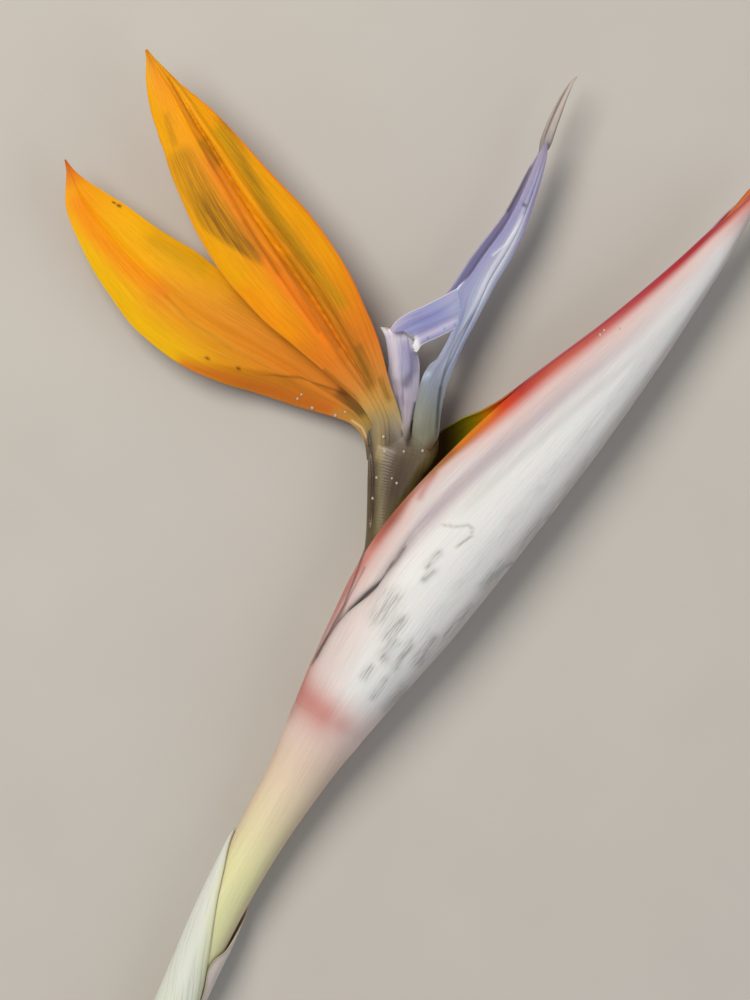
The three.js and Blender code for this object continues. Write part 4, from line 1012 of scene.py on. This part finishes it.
pale = washes(pale, [
    # Painted shade down the right side, where the hood curls inward.
    ("#55536c", stroke(points, [(9.4, 36.6), (9.3, 32.5), (7.6, 29)], 1.35) * 0.8),
    ("#8d8bb0", stroke(points, [(7.6, 38.5), (8.2, 33)], 1.6) * 0.6),
    # Painted highlight down the left side, which bulges towards the light.
    ("#dcd3d8", stroke(points, [(4.4, 40), (4.8, 32), (5.6, 27)], 0.9) * 0.7),
    ("#8b7a90", stroke(points, [(5.4, 29.5), (7.0, 24)], 0.9) * 0.5),
    ("#8f8383", stroke(points, [(5.8, 23), (7.2, 18)], 0.8) * 0.5),
    # Painted shade along the lower right edge, over the claw.
    ("#171210", stroke(points, [(10.0, 24), (9.1, 19.5), (8.3, 15)], 0.5) * 0.8),
    ("#f3f0ef", rise(t, 0.9, 0.96) * rise(s, -0.2, 0.3) * 0.7),
    ("#a88f92", stroke(points, [(1.8, 44), (3.0, 43)], 0.6) * 0.6),
    (tube_colour(points), rise(points[:, 1], 20, 14)),
])
note(hood, "tint", pale)
thicken(hood, PETAL_WALL)
hood.data.materials.append(petal_skin)
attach(hood, "root")
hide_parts("hood_petal")


# ---------- style ----------
# The style runs up inside the arrow, and its sticky grey stigma stands out beyond it, thickest where
# it leaves the petals and hooked over at its tip.
STYLE_LINE = [
    (10.7, 14.0, 11.85), (10.7, 16.1, 11.85), (10.7, 18.2, 11.85), (12.7, 24, 11.85), (15.6, 31, 11.85),
    (19.6, 38.6, 11.85), (23.0, 46, 11.85), (27.2, 56.5, 11.85), (33.6, 67.2, 11.85), (37.9, 76.6, 11.85),
    (42.0, 87.4, 11.6), (44.3, 93.9, 11.5), (47.0, 100.2, 11.4), (49.6, 104.9, 11.35), (50.6, 105.9, 11.3),
]
FURROW_DEPTH = 0.22
style_line = line_through(STYLE_LINE)
style_half_width = profile([
    (0, 0.7), (0.7, 0.7), (0.78, 0.8), (0.82, 1.5), (0.88, 1.35), (0.94, 0.88), (0.985, 0.36), (1, 0.12)])
style_half_depth = profile([
    (0, 0.45), (0.1, 0.55), (0.75, 0.55), (0.85, 0.75), (0.94, 0.5), (0.985, 0.28), (1, 0.12)])
style_rings = np.linspace(0, 1, 151)
style = draw_out("style_and_stigma", style_line, style_half_width, style_half_depth, 32, style_rings)
share, to_left, upward = along_line(style, style_line)
half = style_half_width(share)
points = points_of(style)
furrow = near(to_left, 0.35 * half, 0.22) * rise(upward, 0, 0.3) * rise(share, 0.8, 0.86)
points[:, 2] -= FURROW_DEPTH * furrow
settle(style, points)
note(style, "grain", np.stack([to_left, share * style_line.length, share], -1))
stigma = shade(share, [
    (0, "#8c8a78"), (0.7, "#a9a6b4"), (0.8, "#8f8887"), (0.86, "#a79b94"), (0.93, "#aea196"),
    (1, "#a39488")])
dark_side = near(to_left, 0.45 * half, 0.28) * rise(share, 0.78, 0.84) * rise(share, 1, 0.92)
light_side = near(to_left, -0.35 * half, 0.4) * rise(share, 0.8, 0.86) * rise(upward, 0, 0.3)
stigma = wash(stigma, "#4a3f40", dark_side * rise(upward, -0.2, 0.2) * 0.65)
stigma = wash(stigma, "#d6ccc3", light_side * 0.6)
note(style, "tint", stigma)

# Stigma skin: sticky and grey-pink, with fine lengthwise furrows 0.3 mm apart.
stigma_skin = petal_finish("sticky_stigma", rib_mm=0.3, fleck=0.2, roughness=0.3, glow=0.2, relief=0.35)
style.data.materials.append(stigma_skin)
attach(style, "root")
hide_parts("style")


# ---------- stamens ----------
# Five stamens side by side under the style, hidden between the arrow's halves: white filaments, and
# long anthers that are dry and cream with pollen.
STAMEN_REACH = (0.72, 0.755, 0.77, 0.755, 0.72)  # shares of the arrow's line
STAMEN_SPACING = 0.72
STAMEN_DROP = 0.65  # how far under the arrow's line they lie
STAMEN_LENGTH = 60
STAMEN_RINGS = np.linspace(0, 1, 71)
stamen_half_width = profile([(0, 0.28), (0.6, 0.3), (0.66, 0.33), (0.96, 0.33), (1, 0.12)])
stamen_half_depth = profile([(0, 0.28), (0.6, 0.3), (0.66, 0.42), (0.96, 0.42), (1, 0.15)])
for number, reach in enumerate(STAMEN_REACH):
    place, _, left, up = arrow_line(np.linspace(0.03, reach, 14))
    path = place + left * (number - 2) * STAMEN_SPACING - up * STAMEN_DROP
    line = line_through(path)
    stamen = draw_out("stamen", line, stamen_half_width, stamen_half_depth, 14, STAMEN_RINGS)
    share, to_left, upward = along_line(stamen, line)
    note(stamen, "grain", np.stack([to_left, share * STAMEN_LENGTH, share], -1))
    note(stamen, "tint", shade(share, [(0, "#cfc9b8"), (0.6, "#ded9d0"), (0.66, "#d9cba4"), (1, "#cdb98a")]))
    if number == 0:
        stamens = stamen
    else:
        join(stamens, stamen)
stamens.name = stamens.data.name = "stamen_bundle"

# Stamen skin: dry and powdery, its grain 0.25 mm across.
pollen_skin = petal_finish("powdery_stamen", rib_mm=0.25, fleck=0.12, roughness=0.7, glow=0.1, relief=0.3)
stamens.data.materials.append(pollen_skin)
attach(stamens, "root")
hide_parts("stamens")


# ---------- unopened buds ----------
# Two flowers still folded inside the spathe: smooth firm bodies standing on the stalk's plug. The
# long one's flat orange tip shows between the margins at the beak's end.
BUDS = {
    "bud_long": (
        [(-3.08, -48.0, 12.61), (-2.05, -46.3, 12.71), (7.5, -36.5, 13.9), (22, -16, 14.4), (45, 13, 13.4),
         (66, 38.6, 12.2), (82, 59.8, 11.9), (88.6, 69.3, 12.0), (93.6, 75.7, 12.1), (99.5, 82.5, 12.2)],
        [(0, 1.5), (0.12, 2.4), (0.4, 3.0), (0.65, 2.5), (0.85, 1.6), (0.95, 1.4), (1, 0.3)],
        [(0, 1.5), (0.12, 2.4), (0.4, 2.8), (0.65, 2.2), (0.85, 0.8), (0.95, 0.65), (1, 0.3)]),
    "bud_short": (
        [(-2.96, -47.8, 7.92), (-1.93, -46.1, 8.02), (8.2, -36, 7.4), (19, -20, 7.1), (31, -4, 7.0),
         (43, 9.4, 7.2), (52, 18, 7.6)],
        [(0, 1.5), (0.15, 2.4), (0.5, 2.8), (0.85, 1.4), (0.97, 0.7), (1, 0.2)],
        [(0, 1.5), (0.15, 2.4), (0.5, 2.6), (0.85, 1.4), (0.97, 0.7), (1, 0.2)]),
}
BUD_RINGS = np.linspace(0, 1, 121)

# Bud skin: firm and satin, with faint veins 0.5 mm apart.
bud_skin = petal_finish("smooth_flower_bud", rib_mm=0.5, fleck=0.1, roughness=0.4, glow=0.2, relief=0.2)
for name, (path, half_width, half_depth) in BUDS.items():
    line = line_through(path)
    bud = draw_out(name + "_folded", line, profile(half_width), profile(half_depth), 40, BUD_RINGS)
    share, to_left, upward = along_line(bud, line)
    note(bud, "grain", np.stack([to_left, share * line.length, share], -1))
    bud_tint = shade(share, [
        (0, "#d9cfae"), (0.3, "#d8b983"), (0.6, "#cf9448"), (0.88, "#c8702c"), (0.96, "#bb5c24"),
        (1, "#a34a20")])
    note(bud, "tint", wash(bud_tint, "#a05a24", near(np.sin(share * 3 + to_left), 0, 0.12) * 0.3))
    bud.data.materials.append(bud_skin)
    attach(bud, "root")
    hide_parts(name)


# ---------- dew ----------
# Beads of thickened nectar, where the cut flower weeps: on the sepals' feet, the tube and the spathe.
# Each is a small flattened drop stuck on the skin under it.
DEW = [
    ((-19.4, 25.4), 0.34), ((-18.4, 26.4), 0.3), ((-15.7, 23.1), 0.4), ((-9.9, 21.2), 0.42),
    ((-7.4, 22.0), 0.3), ((2.4, 12.2), 0.42), ((2.1, 15.8), 0.34), ((7.2, 12.1), 0.3),
    ((11.9, 12.3), 0.36), ((-0.55, 0.4), 0.36), ((0.4, 5.6), 0.3), ((5.4, 4.2), 0.32),
    ((4.2, 5.4), 0.26), ((13.3, 7.0), 0.24), ((56.2, 41.2), 0.4), ((57.2, 42.3), 0.34),
    ((61, 42.8), 0.24)]
ABOVE_ALL = 0.05  # metres, higher than any piece
carriers = [front_sepal, left_sepal, flower_tube, spathe, hood, arrow_front]
for number, ((x, y), size) in enumerate(DEW):
    over = [(x + SET_OUT[0]) * MM, (y + SET_OUT[1]) * MM, ABOVE_ALL]
    hits = [carrier.ray_cast(over, (0, 0, -1))[:2] for carrier in carriers]
    top = max([place.z for hit, place in hits if hit] or [0])
    if not top:
        continue
    bpy.ops.mesh.primitive_uv_sphere_add(
        segments=16, ring_count=10, radius=size * MM, location=(over[0], over[1], top + 0.2 * size * MM),
        scale=(1, 1.15, 0.7))
    bpy.ops.object.transform_apply()
    bpy.ops.object.shade_smooth()
    bead = bpy.context.object
    if number == 0:
        dew = bead
    else:
        join(dew, bead)
dew.name = dew.data.name = "dew"

# Nectar thickened to a milky drop: glossy, half clear, with the faintest clouding 1 mm across.
nectar, nectar_skin = new_finish("milky_nectar", Roughness=0.12, IOR=1.36, Transmission_Weight=0.35)
nectar_place = put(nectar, "ShaderNodeTexCoord")
nectar_cloud = put(nectar, "ShaderNodeTexNoise", None,
                   {"Vector": nectar_place.outputs["Object"], "Scale": 1000.0})
nectar_colour = put(nectar, "ShaderNodeMix", {"data_type": "RGBA"},
                    {0: nectar_cloud.outputs["Fac"], 6: linear("#e6dccb"), 7: linear("#c9bda9")})
cover(nectar, nectar_skin, nectar_colour.outputs[2])
dew.data.materials.append(nectar)
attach(dew, "root")


# ---------- table, light and camera ----------
# The flower lies on a plain pale table under one large soft lamp from its upper left and a weak one
# from the right. The camera looks straight down on it.
TABLE_SIZE = 4.0  # metres
bpy.ops.mesh.primitive_plane_add(size=TABLE_SIZE)
table = bpy.context.object
table.name = table.data.name = "table"

# Matt painted board, with a barely seen mottle 40 mm across.
board, board_skin = new_finish("matt_pale_board", Roughness=0.85)
board_place = put(board, "ShaderNodeTexCoord")
board_mottle = put(board, "ShaderNodeTexNoise", None,
                   {"Vector": board_place.outputs["Object"], "Scale": 25.0, "Detail": 2.0})
board_colour = put(board, "ShaderNodeMix", {"data_type": "RGBA"},
                   {0: board_mottle.outputs["Fac"], 6: linear("#b8b3ab"), 7: linear("#c0bbb3")})
cover(board, board_skin, board_colour.outputs[2])
table.data.materials.append(board)

# Each lamp's name, place and size in metres, power in watts, and colour.
for name, place, size, power, colour in [
    ("window_lamp", (-0.45, 0.45, 1.0), 0.7, 11.7, "#fffaf2"),
    ("weak_lamp", (0.8, -0.3, 0.7), 1.0, 3, "#eef3ff"),
]:
    bpy.ops.object.light_add(type="AREA", location=place)
    lamp = bpy.context.object
    lamp.name = lamp.data.name = name
    lamp.data.shape, lamp.data.size, lamp.data.energy = "DISK", size, power
    lamp.data.color = linear(colour)[:3]
    lamp.rotation_euler = (-lamp.location).to_track_quat("-Z", "Y").to_euler()

studio = bpy.data.worlds.new("studio")
studio.use_nodes = True
sky = studio.node_tree.nodes["Background"]
sky.inputs["Color"].default_value = linear("#e6e8ec")
sky.inputs["Strength"].default_value = 0.35
bpy.context.scene.world = studio
bpy.context.scene.view_settings.view_transform = "Standard"

CAMERA_LENS = 300.0
CAMERA_SENSOR = 36.0
FLOWER_MIDDLE = 12.0  # height of the flower's middle above the table
VIEW_HEIGHT = 250.0  # how much of the flower's length is seen at that height
CAMERA_RISE = FLOWER_MIDDLE + VIEW_HEIGHT * CAMERA_LENS / CAMERA_SENSOR
bpy.ops.object.camera_add(location=(SET_OUT[0] * MM, SET_OUT[1] * MM, CAMERA_RISE * MM))
camera = bpy.context.object
camera.name = camera.data.name = "camera"
camera.data.lens = CAMERA_LENS
camera.data.sensor_width = CAMERA_SENSOR
camera.data.clip_end = 10
bpy.context.scene.camera = camera
